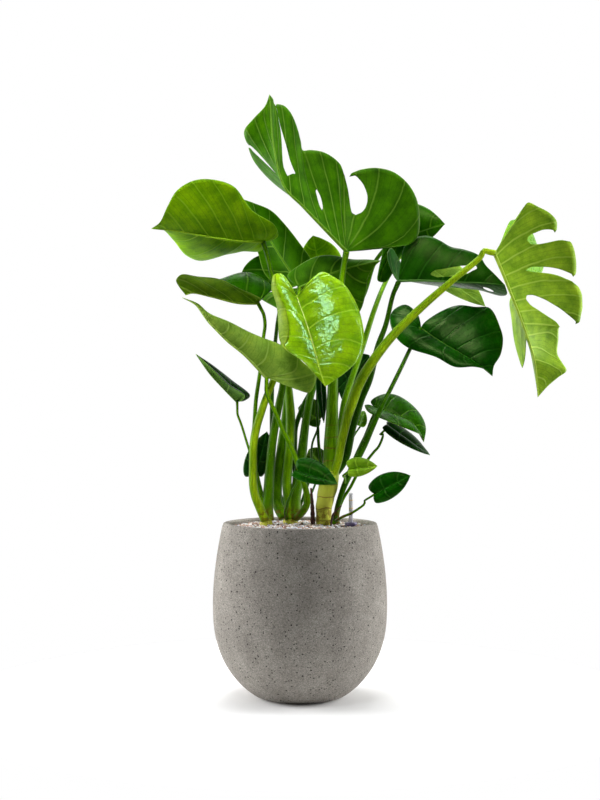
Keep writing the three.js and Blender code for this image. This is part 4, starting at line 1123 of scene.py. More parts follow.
        "slot": "leaf_bright",
        "knee": 3.6,
        "heart": [(206, 896, 165), (371, 779, 120), (298, 880, 150), (262, 828, 150)],
    },
    "leaf_low_right_curved": {
        "slot": "leaf_mid",
        "knee": 3,
        "rib": [(152, 572, -5), (190, 562, -17), (225, 545, -29), (248, 508, -35)],
        "left": [
            (142, 590, 11), (164, 603, 21), (190, 602, 27), (222, 584, 17), (245, 558, -5),
            (252, 535, -21)
        ],
        "left_form": {},
        "right": [(130, 582, -15), (136, 570, -29), (187, 546, -63), (220, 531, -63), (243, 520, -49)],
        "right_form": {},
    },
    "leaf_low_right_narrow": {
        "slot": "leaf_dark",
        "knee": 2,
        "heart": [(177, 539, 0), (260, 482, -26), (218, 526, 28), (202, 506, -36)],
    },
    "leaf_low_right_round": {
        "slot": "leaf_bright",
        "knee": 1.8,
        "heart": [(101, 453, -72), (155, 460, -92), (116, 477, -70), (122, 440, -92)],
    },
    "leaf_rim_right": {
        "slot": "leaf_dark",
        "knee": 2,
        "heart": [(150, 404, -60), (221, 441, -84), (166, 444, -54), (187, 397, -74)],
    },
    "leaf_rim_front": {
        "slot": "leaf_dark",
        "knee": 2,
        "heart": [(-4, 450, -112), (75, 424, -136), (34, 470, -100), (16, 426, -128)],
    },
    "leaf_inner_right": {
        "slot": "leaf_dark",
        "knee": 2.2,
        "heart": [(77, 616, 108), (139, 682, 108), (84, 672, 104), (128, 604, 114)],
    },
    "leaf_inner_left": {
        "slot": "leaf_dark",
        "knee": 2.2,
        "heart": [(40, 552, 96), (-4, 576, 92), (28, 594, 92), (14, 545, 104)],
    },
    "leaf_inner_hanging": {
        "slot": "leaf_dark",
        "knee": 2,
        "heart": [(40, 636, 8), (48, 546, -2), (51, 600, 14), (34, 600, -6)],
    },
    "leaf_inner_small": {
        "slot": "leaf_dark",
        "knee": 1.8,
        "heart": [(44, 462, 112), (18, 494, 106), (46, 492, 104), (16, 464, 124)],
    },
    "leaf_inner_rolled": {
        "slot": "leaf_bright",
        "knee": 1.8,
        "heart": [(121, 540, 60), (129, 570, 54), (118, 562, 84), (134, 552, 34)],
    },
}

SHOOTS = {
    "shoot_left": {
        "crown": (-67, -6, 15),
        "stalks": [
            {
                "leaf": "leaf_front_young",
                "radii": [9, 8.6, 8, 8, 7.2, 6.5, 5.8, 5, 4.4],
                "route": [
                    (-70, 352, -12), (-81, 379, -18), (-89, 399, -20), (-94, 424, -22), (-94, 460, -25),
                    (-92, 508, -28), (-86, 542, -30), (-79, 564, -30), (-69, 592, -31), (-50, 640, -32),
                    (-34, 700, -36), (-20, 760, -60), (-12, 790, -85)
                ],
            },
            {
                "leaf": "leaf_left_round",
                "radii": [12.5, 10.2, 8.8, 8, 6.4, 5.6, 5, 4.6, 4.2],
                "route": [
                    (-64, 350, 0), (-65, 380, 3), (-63, 410, 5), (-61, 450, 7), (-56, 500, 8),
                    (-48, 552, 8), (-41, 590, 6), (-35, 620, 4), (-29, 700, 6), (-41, 782, 4),
                    (-57, 844, 4), (-64, 876, 4)
                ],
            },
            {
                "leaf": "leaf_left_folded",
                "radii": [5, 4.6, 4.2, 4, 3.6, 3.4],
                "route": [
                    (-74, 352, 4), (-77, 400, 14), (-84, 430, 16), (-93, 470, 14), (-96, 508, 12),
                    (-92, 536, 10), (-90, 564, 8), (-88, 592, 8), (-80, 649, 6), (-73, 718, 4),
                    (-70, 742, 2), (-73, 764, -4)
                ],
            },
            {
                "leaf": "leaf_left_small",
                "radii": [3.2, 2.8, 2.4, 2.4],
                "route": [
                    (-66, 352, -14), (-76, 392, 0), (-94, 460, -2), (-104, 500, -14), (-120, 550, -34),
                    (-125, 572, -40)
                ],
            },
            {
                "leaf": "leaf_low_left",
                "radii": [3.4, 2.6, 2.2],
                "route": [(-76, 352, 4), (-84, 388, 28), (-88, 424, 34)],
            },
        ],
    },
    "shoot_middle": {
        "crown": (-20, 22, 17),
        "stalks": [
            {
                "leaf": "leaf_left_back",
                "radii": [11, 10.5, 8.5, 6, 5, 4.4, 3.6],
                "route": [
                    (-32, 356, 28), (-45, 385, 40), (-46, 420, 44), (-42, 460, 48), (-36, 510, 50),
                    (-30, 560, 50), (-22, 680, 56), (-8, 770, 76), (-4, 800, 88)
                ],
            },
            {
                "leaf": "leaf_middle_wide",
                "radii": [9.5, 9.6, 9.6, 9.6, 8, 6, 5, 4],
                "route": [
                    (-21, 354, 18), (-23, 385, 20), (-26, 424, 22), (-24, 460, 24), (-20, 508, 24),
                    (-19, 560, 24), (-22, 600, 26), (-26, 660, 30), (-12, 740, 24), (-5, 786, 12)
                ],
            },
            {
                "leaf": "leaf_crown_back",
                "radii": [6, 5.4, 5, 5, 4.4, 4, 3],
                "route": [
                    (-13, 354, 28), (-10, 440, 44), (-10, 508, 56), (-8, 540, 58), (8, 584, 62),
                    (24, 614, 70), (40, 690, 100), (44, 780, 130), (43, 812, 142)
                ],
            },
            {
                "leaf": "leaf_left_dark",
                "radii": [5, 4.5, 4, 3],
                "route": [
                    (-24, 356, 32), (-50, 440, 70), (-56, 600, 100), (-46, 740, 128), (-34, 810, 180),
                    (-34, 848, 190)
                ],
            },
            {
                "leaf": "leaf_crown_right",
                "radii": [12, 11, 8.5, 7.5, 6.5, 5.5, 4.5, 3.6],
                "route": [
                    (-11, 354, 20), (-10, 372, 20), (-9, 400, 24), (-4, 430, 30), (3, 480, 40),
                    (12, 550, 48), (19, 592, 52), (27, 622, 56), (60, 700, 90), (126, 800, 134),
                    (150, 868, 136), (166, 896, 126)
                ],
            },
            {
                "leaf": "leaf_left_long",
                "radii": [7.5, 7, 5.5, 5, 4.4, 4, 3.6],
                "route": [
                    (-8, 356, 12), (5, 368, -12), (14, 385, -30), (13, 405, -44), (8, 424, -54),
                    (-2, 458, -64), (-19, 500, -66), (-33, 530, -66), (-47, 561, -66), (-61, 592, -66),
                    (-67, 612, -66)
                ],
            },
            {
                "leaf": "leaf_rim_front",
                "radii": [3.6, 3, 2.4, 2],
                "route": [(-28, 354, 12), (-28, 372, -20), (-19, 402, -62), (-6, 430, -98)],
            },
            {
                "leaf": "leaf_inner_left",
                "radii": [3.4, 3, 2.4, 2.2],
                "route": [(-10, 354, 28), (20, 440, 74), (24, 500, 88), (34, 532, 96)],
            },
            {
                "leaf": "leaf_inner_small",
                "radii": [3, 2.4, 1.8],
                "route": [(-12, 356, 30), (20, 400, 84), (38, 444, 112)],
            },
        ],
    },
    "shoot_main": {
        "crown": (48, -6, 15),
        "stalks": [
            {
                "leaf": None,
                "radii": [14.5, 16, 17.5, 19.5, 17],
                "route": [(47, 344, -6), (48, 379, -6), (51, 396, -6), (57, 424, -6), (61, 452, -6)],
            },
            {
                "leaf": "leaf_crown_split",
                "radii": [16, 15, 12.8, 10.8, 9.6, 8.6, 7.4, 6.2, 5.4],
                "route": [
                    (58, 436, -4), (62, 474, -5), (62, 508, -6), (64, 550, -8), (65, 592, -10),
                    (66, 640, -14), (76, 740, -20), (84, 836, -28), (88, 864, -32)
                ],
            },
            {
                "leaf": "leaf_right_split",
                "radii": [9, 9, 10.4, 10, 9, 8, 7, 6, 5.2],
                "route": [
                    (64, 436, -10), (76, 472, -20), (83, 508, -26), (89, 536, -30), (96, 564, -33),
                    (106, 592, -36), (117, 622, -40), (139, 660, -48), (183, 718, -58), (247, 781, -68),
                    (311, 836, -74), (361, 878, -70), (378, 888, -66)
                ],
            },
            {
                "leaf": "leaf_right_dark_split",
                "radii": [8, 8.5, 8, 7, 6, 5, 4.6],
                "route": [
                    (62, 436, 2), (80, 458, 6), (93, 482, 8), (99, 508, 10), (104, 536, 12),
                    (113, 564, 14), (122, 592, 15), (137, 628, 16), (157, 702, 18), (171, 742, 20),
                    (182, 792, 22)
                ],
            },
            {
                "leaf": "leaf_right_back",
                "radii": [8, 7, 6, 5, 4],
                "route": [
                    (54, 440, 6), (78, 520, 30), (90, 590, 50), (129, 710, 90), (149, 774, 120),
                    (177, 840, 180), (198, 876, 196)
                ],
            },
            {
                "leaf": "leaf_inner_right",
                "radii": [3.4, 3, 2.4],
                "route": [(56, 440, 6), (70, 520, 60), (72, 580, 96), (75, 598, 106)],
            },
            {
                "leaf": "leaf_inner_hanging",
                "radii": [3.4, 3, 2.4, 2],
                "route": [(48, 430, 4), (38, 500, 22), (34, 600, 26), (36, 652, 20), (38, 660, 14)],
            },
            {
                "leaf": "leaf_inner_rolled",
                "radii": [3, 2.6, 2, 1.8],
                "route": [(62, 450, 4), (92, 500, 34), (112, 528, 56), (117, 534, 60)],
            },
        ],
    },
    "shoot_right": {
        "crown": (72, 16, 10),
        "stalks": [
            {
                "leaf": "leaf_right_glossy",
                "radii": [5, 5.5, 7, 8, 6, 4.4, 4.2, 4, 4],
                "route": [
                    (70, 350, 14), (74, 374, 4), (80, 396, -8), (90, 424, -16), (103, 452, -26),
                    (115, 477, -32), (126, 500, -38), (139, 528, -50), (148, 547, -58), (156, 564, -62),
                    (169, 590, -60), (203, 658, -26), (219, 692, 0)
                ],
            },
            {
                "leaf": "leaf_low_right_curved",
                "radii": [4, 3.6, 3],
                "route": [(103, 452, -26), (118, 486, -26), (134, 528, -22), (145, 556, -18)],
            },
            {
                "leaf": "leaf_low_right_narrow",
                "radii": [3.4, 3.2, 3, 2.6, 2],
                "route": [
                    (74, 350, 18), (78, 374, 16), (87, 396, 12), (101, 418, 8), (115, 444, 8),
                    (135, 472, 8), (148, 488, 8), (158, 500, 6), (166, 524, 4), (171, 533, 2)
                ],
            },
            {
                "leaf": "leaf_low_right_round",
                "radii": [3, 2.4, 1.8],
                "route": [(90, 424, -16), (89, 438, -46), (94, 447, -64)],
            },
            {
                "leaf": "leaf_rim_right",
                "radii": [3.4, 3, 2.4, 2],
                "route": [
                    (72, 351, 10), (76, 353, -24), (87, 359, -46), (101, 365, -56), (118, 375, -60),
                    (129, 385, -62), (138, 396, -62)
                ],
            },
        ],
    },
}

AERIAL_ROOTS = {
    "aerial_root_right": {
        "radii": [2.2, 1.8, 1.2],
        "route": [(61, 336, -27), (66, 363, -27), (74, 372, -28), (83, 381, -30)],
    },
    "aerial_root_back": {"radii": [5, 4, 1.8], "route": [(26, 336, -8), (25, 372, -8), (22, 416, -2)]},
}


# ---------------------------------------------------------------- materials

# Upper and lower face, vein on the upper face and vein on the lower face of each tone of leaf.
# The lower faces are paler, as real undersides are, and partly as painted light standing in for light that
# shines through the blade.
LEAF_TONES = {
    "leaf_young": ("#7fb008", "#a4bf46", "#b5d257", "#c2d27a"),
    "leaf_bright": ("#5c9400", "#8aa92c", "#8fbc3a", "#b9cc6a"),
    "leaf_mid": ("#457c00", "#5f8c10", "#79a736", "#93b24c"),
    "leaf_dark": ("#123f10", "#46700f", "#3f7a2c", "#7fa046"),
}

# The greens of the single leaves, from the darkest to the palest.
GREENS = {
    "night": "#0e3606", "bottle": "#105402", "fir": "#1a5204", "forest": "#2a6600", "shade": "#2e6628",
    "leaf": "#3e7600", "grass": "#429404", "moss": "#5a8830", "lime": "#74b204", "meadow": "#7eac1e",
    "sage": "#8cb242", "fresh": "#8cc408", "pale": "#98c42c", "young": "#9ed408", "straw": "#cce040",
}

# The leaves whose upper and lower face have a green of their own, and not their tone's.
LEAF_GREENS = {
    "leaf_crown_split": ("leaf", "leaf"),
    "leaf_left_round": ("fresh", "fresh"),
    "leaf_left_back": ("leaf", "leaf"),
    "leaf_left_folded": ("forest", "meadow"),
    "leaf_left_dark": ("forest", "forest"),
    "leaf_middle_wide": ("leaf", "leaf"),
    "leaf_left_long": ("fir", "sage"),
    "leaf_left_small": ("night", "moss"),
    "leaf_right_split": ("lime", "pale"),
    "leaf_right_dark_split": ("fir", "shade"),
    "leaf_right_glossy": ("bottle", "forest"),
    "leaf_crown_right": ("forest", "shade"),
    "leaf_crown_back": ("fresh", "pale"),
    "leaf_right_back": ("sage", "pale"),
    "leaf_low_right_curved": ("forest", "moss"),
    "leaf_low_right_round": ("meadow", "sage"),
    "leaf_front_young": ("young", "straw"),
    "leaf_low_right_narrow": ("night", "bottle"),
    "leaf_rim_right": ("bottle", "grass"),
    "leaf_rim_front": ("bottle", "grass"),
}

# The rolled margin shows the young leaf's lower face, with its own green and gloss.
ROLLED_GREEN = "#93b52c"
ROLLED_GLOSS = 0.2


# Margins that have rolled over: places round the margin with the strip's width in mm.
ROLLED_MARGINS = {
    "leaf_front_young": [
        (0.24, 0.5), (0.29, 9), (0.35, 20), (0.45, 27), (0.54, 27), (0.6, 25), (0.64, 18), (0.67, 8),
        (0.7, 7), (0.85, 7), (0.93, 3), (0.96, 0.5),
    ],
}

# How strongly the leaves reflect: most of them a little, these more.
PLAIN_GLOSS = 0.1
LEAF_GLOSS = {
    "leaf_front_young": 0.9, "leaf_right_glossy": 0.24, "leaf_right_dark_split": 0.12, "leaf_left_long": 0.12,
    "leaf_left_round": 0.14, "leaf_low_right_curved": 0.16, "leaf_crown_right": 0.12, "leaf_left_small": 0.12,
}


# How many cells go to a metre: the net of the finest veins, drawn coarser than the real one so that it
# shows; the lenticels of the stalks and the pits of the concrete.
VEIN_NET_CELLS = 190.0
LENTICEL_CELLS = 260.0
PIT_CELLS = 190.0


def vein_line(tree, share, spacing, inner, outer):
    """How strongly a vein shows: 1 on the lines where `share` is whole, 0 farther than `outer` mm away."""
    beside = math_of(tree, "FRACT", share)
    near = math_of(tree, "MINIMUM", beside, math_of(tree, "SUBTRACT", 1.0, beside))
    return falling(tree, math_of(tree, "MULTIPLY", near, spacing), inner, outer)


def falling(tree, value, start, end):
    """1 below `start`, 0 above `end`, smooth between."""
    return node(tree, "MapRange", {"interpolation_type": "SMOOTHSTEP"}, {
        "Value": value, "From Min": start, "From Max": end, "To Min": 1.0, "To Max": 0.0,
    }).outputs[0]


def leaf_marks(tree):
    """The strength of the midrib, the side veins, the fine veins and the net between them, as sockets."""
    phase = attribute(tree, "phase")
    spacing = attribute(tree, "spacing")
    wander = math_of(tree, "MULTIPLY", math_of(tree, "SUBTRACT", noise(tree, 36, 2), 0.5), 0.16)
    midrib = falling(tree, attribute(tree, "from_rib"), 0.9, 2.8)
    side_vein = vein_line(tree, math_of(tree, "ADD", phase, wander), spacing, 0.6, 2.7)
    fine = vein_line(tree, math_of(tree, "MULTIPLY_ADD", phase, 4.0, wander),
                     math_of(tree, "MULTIPLY", spacing, 0.25), 0.1, 0.7)
    wide = math_of(tree, "SUBTRACT", 1.0, falling(tree, spacing, 4, 12))
    side_vein = math_of(tree, "MULTIPLY", side_vein, wide)
    wider = math_of(tree, "SUBTRACT", 1.0, falling(tree, spacing, 20, 36))
    fine = math_of(tree, "MULTIPLY", fine, wider)
    cells = node(tree, "TexVoronoi", {"feature": "DISTANCE_TO_EDGE"}, {
        "Vector": place_of(tree), "Scale": VEIN_NET_CELLS,
    })
    net = falling(tree, cells.outputs["Distance"], 0.02, 0.1)
    return midrib, side_vein, fine, net


def leaf_skin(name, vein, strengths, roughness, vein_height):
    """A leaf's skin: the leaf's own colour in cloudy shades, with its midrib and side veins in strengths,
    darker fine veins, and painted shade in the grooves by the side veins."""
    material, tree, shader = new_material(name)
    marks = leaf_marks(tree)
    clouds = ramp_of(tree, noise(tree, 34, 5, 0.62), [
        (0.3, (0.55, 0.62, 0.5, 1.0)), (0.5, (1.0, 1.0, 1.0, 1.0)), (0.7, (1.5, 1.3, 1.2, 1.0)),
    ])
    own = node(tree, "Attribute", {"attribute_name": "face"}).outputs["Color"]
    toned = mixed(tree, 1.0, own, clouds, "MULTIPLY")
    flecks = ramp_of(tree, noise(tree, 2.2, 4, 0.7), [
        (0.35, (0.86, 0.88, 0.84, 1.0)), (0.65, (1.1, 1.08, 1.06, 1.0)),
    ])
    toned = mixed(tree, 1.0, toned, flecks, "MULTIPLY")
    shaded = math_of(tree, "MULTIPLY_ADD", marks[3], 0.16, math_of(tree, "MULTIPLY", marks[2], 0.6))
    toned = mixed(tree, shaded, toned, mixed(tree, 1.0, toned, (0.42, 0.52, 0.36, 1.0), "MULTIPLY"))
    # Painted shade in the grooves by the side veins: the colour is deepened towards each vein.
    beside = math_of(tree, "SUBTRACT", math_of(tree, "FRACT", attribute(tree, "phase")), 0.5)
    groove_shade = math_of(tree, "POWER", math_of(tree, "MULTIPLY", math_of(tree, "ABSOLUTE", beside), 2.0), 2.5)
    groove_shaded_colour = mixed(tree, 1.0, toned, own, "MULTIPLY")
    toned = mixed(tree, math_of(tree, "MULTIPLY", groove_shade, 0.6), toned, groove_shaded_colour)
    near_foot = node(tree, "MapRange", links={
        "Value": attribute(tree, "out"), "From Min": 0.0, "From Max": 1.0,
        "To Min": strengths[1], "To Max": 0.45,
    }).outputs[0]
    strongest = math_of(tree, "MAXIMUM", math_of(tree, "MULTIPLY", marks[0], strengths[0]),
                        math_of(tree, "MULTIPLY", marks[1], near_foot))
    paler = mixed(tree, 1.0, own, (1.7, 1.45, 2.0, 1.0), "MULTIPLY")
    veined = mixed(tree, strongest, toned, mixed(tree, 0.3, paler, linear(vein)))
    edge = falling(tree, attribute(tree, "from_edge"), 0.3, 1.3)
    edged = mixed(tree, math_of(tree, "MULTIPLY", edge, 0.5), veined, linear(vein))
    tree.links.new(edged, shader.inputs["Base Color"])
    rough = node(tree, "MapRange", links={
        "Value": noise(tree, 11, 4, 0.6), "From Min": 0.3, "From Max": 0.7,
        "To Min": roughness - 0.08, "To Max": roughness + 0.1,
    })
    gloss = attribute(tree, "gloss")
    tree.links.new(math_of(tree, "MULTIPLY_ADD", gloss, -0.16, rough.outputs[0]), shader.inputs["Roughness"])
    tree.links.new(gloss, shader.inputs["Specular IOR Level"])
    tint = mixed(tree, gloss, linear("#c3d668"), linear("#9fdccb"))
    tree.links.new(tint, shader.inputs["Specular Tint"])
    dented = math_of(tree, "MULTIPLY", math_of(tree, "MULTIPLY", noise(tree, 26, 3, 0.5), gloss), 11.0)
    height = math_of(tree, "MULTIPLY_ADD", noise(tree, 3.0, 3, 0.6), 0.18, dented)
    for mark, rise in zip(marks, (0.5, 0.8, 0.2, 0.04)):
        height = math_of(tree, "MULTIPLY_ADD", mark, vein_height * rise, height)
    bump(tree, shader, height, 0.45)
    return material


def leaf_upper(name, vein):
    """Waxy upper leaf skin, with pale veins sunk between low swellings."""
    return leaf_skin(name, vein, (0.95, 0.8), 0.3, -1.0)


def leaf_lower(name, vein):
    """Duller lower leaf skin, with veins that stand out."""
    return leaf_skin(name, vein, (0.95, 0.85), 0.48, 1.0)


def stalk_skin():
    """Smooth stalk skin with lengthwise ridges, pale lenticels, ring scars low down and a brown foot, with
    painted shade at both edges and a painted highlight near its middle.
    """
    material, tree, shader = new_material("stalk_skin")
    green = ramp_of(tree, attribute(tree, "tone"), [
        (0.0, linear("#183f00")), (0.25, linear("#376f00")), (0.5, linear("#6fa506")),
        (0.75, linear("#a6cb1c")), (1.0, linear("#ced870")),
    ])
    height = node(tree, "SeparateXYZ", links={"Vector": place_of(tree)}).outputs["Z"]
    stretched = node(tree, "Mapping", links={"Vector": place_of(tree), "Scale": (1.0, 1.0, 0.06)})
    streaks = node(tree, "TexNoise", links={
        "Vector": stretched.outputs["Vector"], "Scale": 520.0, "Detail": 4.0, "Roughness": 0.6,
    }).outputs["Fac"]
    shade = ramp_of(tree, streaks, [(0.32, (0.6, 0.66, 0.56, 1.0)), (0.52, (1.0, 1.0, 1.0, 1.0)),
                                    (0.7, (1.22, 1.16, 1.15, 1.0))])
    coloured = mixed(tree, 1.0, green, shade, "MULTIPLY")
    # Painted shade and highlight across the stalk: by where a place lies round it across X, both edges are
    # darkened and a band near the middle is lightened.
    rounding = ramp_of(tree, math_of(tree, "MULTIPLY_ADD", attribute(tree, "side"), 0.5, 0.5), [
        (0.0, (0.26, 0.32, 0.2, 1.0)), (0.3, (0.66, 0.74, 0.55, 1.0)), (0.58, (1.5, 1.4, 1.4, 1.0)),
        (0.8, (1.15, 1.1, 1.0, 1.0)), (1.0, (0.4, 0.48, 0.32, 1.0)),
    ])
    coloured = mixed(tree, 1.0, coloured, rounding, "MULTIPLY")
    blotches = ramp_of(tree, noise(tree, 45, 4), [
        (0.35, (0.75, 0.8, 0.7, 1.0)), (0.65, (1.15, 1.12, 1.0, 1.0)),
    ])
    coloured = mixed(tree, 1.0, coloured, blotches, "MULTIPLY")
    spots = node(tree, "TexVoronoi", {"feature": "F1"}, {"Vector": place_of(tree), "Scale": LENTICEL_CELLS})
    dots = falling(tree, spots.outputs["Distance"], 0.08, 0.18)
    coloured = mixed(tree, math_of(tree, "MULTIPLY", dots, 0.4), coloured, linear("#c9cf92"))
    thick = node(tree, "MapRange", {"interpolation_type": "SMOOTHSTEP"}, {
        "Value": attribute(tree, "thickness"), "From Min": 11.0, "From Max": 15.0,
        "To Min": 0.0, "To Max": 1.0,
    }).outputs[0]
    tilt = math_of(tree, "MULTIPLY", noise(tree, 22, 2), 0.012)
    rings = math_of(tree, "FRACT", math_of(tree, "MULTIPLY", math_of(tree, "ADD", height, tilt), 42.0))
    scar = math_of(tree, "MULTIPLY", falling(tree, rings, 0.05, 0.12), thick)
    pale = math_of(tree, "MULTIPLY", falling(tree, height, 0.385, 0.48), thick)
    coloured = mixed(tree, math_of(tree, "MULTIPLY", pale, 0.8), coloured, linear("#dcdc58"))
    coloured = mixed(tree, math_of(tree, "MULTIPLY", scar, 0.7), coloured, linear("#7a5a2a"))
    husk = math_of(tree, "MULTIPLY", falling(tree, math_of(tree, "ADD", height, tilt), 0.372, 0.392),
                   math_of(tree, "GREATER_THAN", noise(tree, 9, 3), 0.5))
    coloured = mixed(tree, math_of(tree, "MULTIPLY", husk, 0.6), coloured, linear("#6d3f1f"))
    tree.links.new(coloured, shader.inputs["Base Color"])
    shader.inputs["Roughness"].default_value = 0.36
    shader.inputs["Specular IOR Level"].default_value = 0.12
    shader.inputs["Specular Tint"].default_value = linear("#b9d45c")
    bump(tree, shader, math_of(tree, "SUBTRACT", streaks, math_of(tree, "MULTIPLY", scar, 0.7)), 0.6)
    return material


def root_bark():
    """Dark reddish brown root bark with a fine rough grain."""
    material, tree, shader = new_material("root_bark")
    colour = ramp_of(tree, noise(tree, 3, 4), [(0.3, linear("#1d0f0a")), (0.6, linear("#5a3020")),
                                               (0.75, linear("#8c4a30"))])
    tree.links.new(colour, shader.inputs["Base Color"])
    shader.inputs["Roughness"].default_value = 0.75
    bump(tree, shader, noise(tree, 1.5, 4), 0.5)
    return material


def fibre_concrete():
    """Warm grey fibre concrete: sandy grain, faint clouds, short strokes and many small open pits, with
    painted shade in the pits.
    """
    material, tree, shader = new_material("fibre_concrete")
    clouds = ramp_of(tree, noise(tree, 55, 6, 0.65), [(0.3, linear("#85807a")), (0.7, linear("#a09b94"))])
    grain = ramp_of(tree, noise(tree, 1.7, 4, 0.8), [
        (0.3, (0.36, 0.35, 0.33, 1.0)), (0.5, (0.98, 0.98, 0.97, 1.0)), (0.68, (1.6, 1.6, 1.57, 1.0)),
    ])
    sandy = mixed(tree, 1.0, clouds, grain, "MULTIPLY")
    flat = node(tree, "Mapping", links={"Vector": place_of(tree), "Scale": (0.7, 0.7, 1.0)})
    strokes = node(tree, "TexNoise", links={
        "Vector": flat.outputs["Vector"], "Scale": 330.0, "Detail": 2.0, "Roughness": 0.5,
    }).outputs["Fac"]
    sandy = mixed(tree, 1.0, sandy, ramp_of(tree, strokes, [
        (0.3, (0.78, 0.78, 0.77, 1.0)), (0.5, (1.0, 1.0, 1.0, 1.0)), (0.7, (1.14, 1.14, 1.13, 1.0)),
    ]), "MULTIPLY")
    cells = node(tree, "TexVoronoi", {"feature": "F1"}, {"Vector": place_of(tree), "Scale": PIT_CELLS})
    chosen = node(tree, "SeparateColor", links={"Color": cells.outputs["Color"]}).outputs[0]
    reach = node(tree, "MapRange", links={
        "Value": chosen, "From Min": 0.4, "From Max": 1.0, "To Min": 0.0, "To Max": 0.34,
    }).outputs[0]
    ragged = math_of(tree, "MULTIPLY_ADD", noise(tree, 1.4, 2), 0.24, cells.outputs["Distance"])
    shaded_pit = falling(tree, math_of(tree, "SUBTRACT", ragged, reach), 0.06, 0.14)
    # Painted shade: the pits are coloured near black.
    tree.links.new(mixed(tree, math_of(tree, "MULTIPLY", shaded_pit, 0.9), sandy, linear("#1b1917")),
                   shader.inputs["Base Color"])
    shader.inputs["Roughness"].default_value = 0.95
    shader.inputs["Specular IOR Level"].default_value = 0.25
    height = math_of(tree, "SUBTRACT", math_of(tree, "MULTIPLY", noise(tree, 1.3, 4, 0.75), 0.6), shaded_pit)
    bump(tree, shader, height, 1.1)
    return material


def broken_granule():
    """Broken stone granules: white, beige-pink and mauve-brown pieces with a dusty skin."""
    material, tree, shader = new_material("broken_granule")
    colour = ramp_of(tree, attribute(tree, "tone"), [
        (0.0, linear("#ffffff")), (0.26, linear("#e6e9f2")), (0.46, linear("#ecd6c6")),
        (0.62, linear("#cfae9e")), (0.78, linear("#a98478")), (0.92, linear("#6d5550")),
    ], "CONSTANT")
    dust = ramp_of(tree, noise(tree, 1.6, 3, 0.7), [
        (0.3, (0.72, 0.72, 0.74, 1.0)), (0.7, (1.12, 1.12, 1.1, 1.0)),
    ])
    tree.links.new(mixed(tree, 1.0, colour, dust, "MULTIPLY"), shader.inputs["Base Color"])
    shader.inputs["Roughness"].default_value = 0.88
    bump(tree, shader, noise(tree, 0.7, 3), 0.35)
    return material


def granule_dust():
    """The fine dark bed seen between the granules."""
    material, tree, shader = new_material("granule_dust")
    colour = ramp_of(tree, noise(tree, 2, 3), [(0.35, linear("#4a3f3a")), (0.65, linear("#94817a"))])
    tree.links.new(colour, shader.inputs["Base Color"])
    shader.inputs["Roughness"].default_value = 0.95
    bump(tree, shader, noise(tree, 1.5, 3), 1.0)
    return material


def gauge_plastic():
    """Lilac moulded plastic with a satin skin, mottled between two lilacs."""
    material, tree, shader = new_material("moulded_plastic")
    colour = ramp_of(tree, noise(tree, 6, 2), [(0.3, linear("#4a4260")), (0.7, linear("#6f6690"))])
    tree.links.new(colour, shader.inputs["Base Color"])
    shader.inputs["Roughness"].default_value = 0.3
    bump(tree, shader, noise(tree, 0.4, 2), 0.02)
    return material


def clear_plastic():
    """Milky clear plastic tube with yellow scale marks."""
    material, tree, shader = new_material("clear_plastic")
    height = node(tree, "SeparateXYZ", links={"Vector": place_of(tree)}).outputs["Z"]
    marks = None
    for level in (0.3934, 0.3774):
        off = math_of(tree, "ABSOLUTE", math_of(tree, "SUBTRACT", height, level))
        mark = math_of(tree, "MULTIPLY", math_of(tree, "LESS_THAN", off, 0.001), 0.7)
        marks = mark if marks is None else math_of(tree, "MAXIMUM", marks, mark)
    haze = ramp_of(tree, noise(tree, 3, 2), [(0.3, linear("#eceaf4")), (0.7, linear("#ffffff"))])
    tree.links.new(mixed(tree, marks, haze, linear("#d9a62a")), shader.inputs["Base Color"])
    clear = math_of(tree, "SUBTRACT", 0.35, math_of(tree, "MULTIPLY", marks, 0.35))
    tree.links.new(clear, shader.inputs["Transmission Weight"])
    shader.inputs["Roughness"].default_value = 0.15
    shader.inputs["IOR"].default_value = 1.3
    return material


def indicator_plastic():
    """Red plastic of the float's rod."""
    material, tree, shader = new_material("indicator_plastic")
    colour = ramp_of(tree, noise(tree, 2, 2), [(0.3, linear("#c9243c")), (0.7, linear("#ee5a6e"))])
    tree.links.new(colour, shader.inputs["Base Color"])
    shader.inputs["Roughness"].default_value = 0.45
    return material


def pale_floor():
    """Plain pale studio floor."""
    material, tree, shader = new_material("studio_floor")
    colour = ramp_of(tree, noise(tree, 400, 2), [(0.3, linear("#fcfcfc")), (0.7, linear("#ffffff"))])
    tree.links.new(colour, shader.inputs["Base Color"])
    shader.inputs["Roughness"].default_value = 1.0
    shader.inputs["Specular IOR Level"].default_value = 0.0
    return material


def shared_material(name, make, *values):
    """The material of that name, made the first time it is asked for."""
    found = bpy.data.materials.get(name)
    return found if found else make(name, *values)


# ---------------------------------------------------------------- add-on


class PlantSettings(bpy.types.PropertyGroup):
    """What the plant's operators can be told."""

    leaf_wave: bpy.props.FloatProperty(
        name="Leaf wave", description="Height of the waves along the leaf margins", default=0.0015,
        min=0.0, max=0.01, subtype="DISTANCE", unit="LENGTH",
    )
    seed: bpy.props.IntProperty(
        name="Seed", description="Seed of the granules' places and turns", default=SEED,
    )
    granule_tries: bpy.props.IntProperty(
        name="Granules", description="How many places are tried for a loose granule", default=GRANULE_TRIES,
        min=0,
    )


class PLANT_OT_planter(bpy.types.Operator):
    """Builds the concrete planter"""

    bl_idname = "plant.planter"
    bl_label = "Planter"

    def execute(self, context):
        select_none()
        settle(pot_mesh(fibre_concrete()), "concrete", "pot")
        return {"FINISHED"}


class PLANT_OT_granules(bpy.types.Operator):
    """Builds the bed and the loose granules on it"""

    bl_idname = "plant.granules"
    bl_label = "Granules"

    def execute(self, context):
        select_none()
        settle(bed_mesh(granule_dust()), "granules", "substrate")
        settings = context.scene.plant_settings
        granules = granules_mesh(broken_granule(), settings.seed, settings.granule_tries)
        settle(granules, "granules", "substrate")
        return {"FINISHED"}


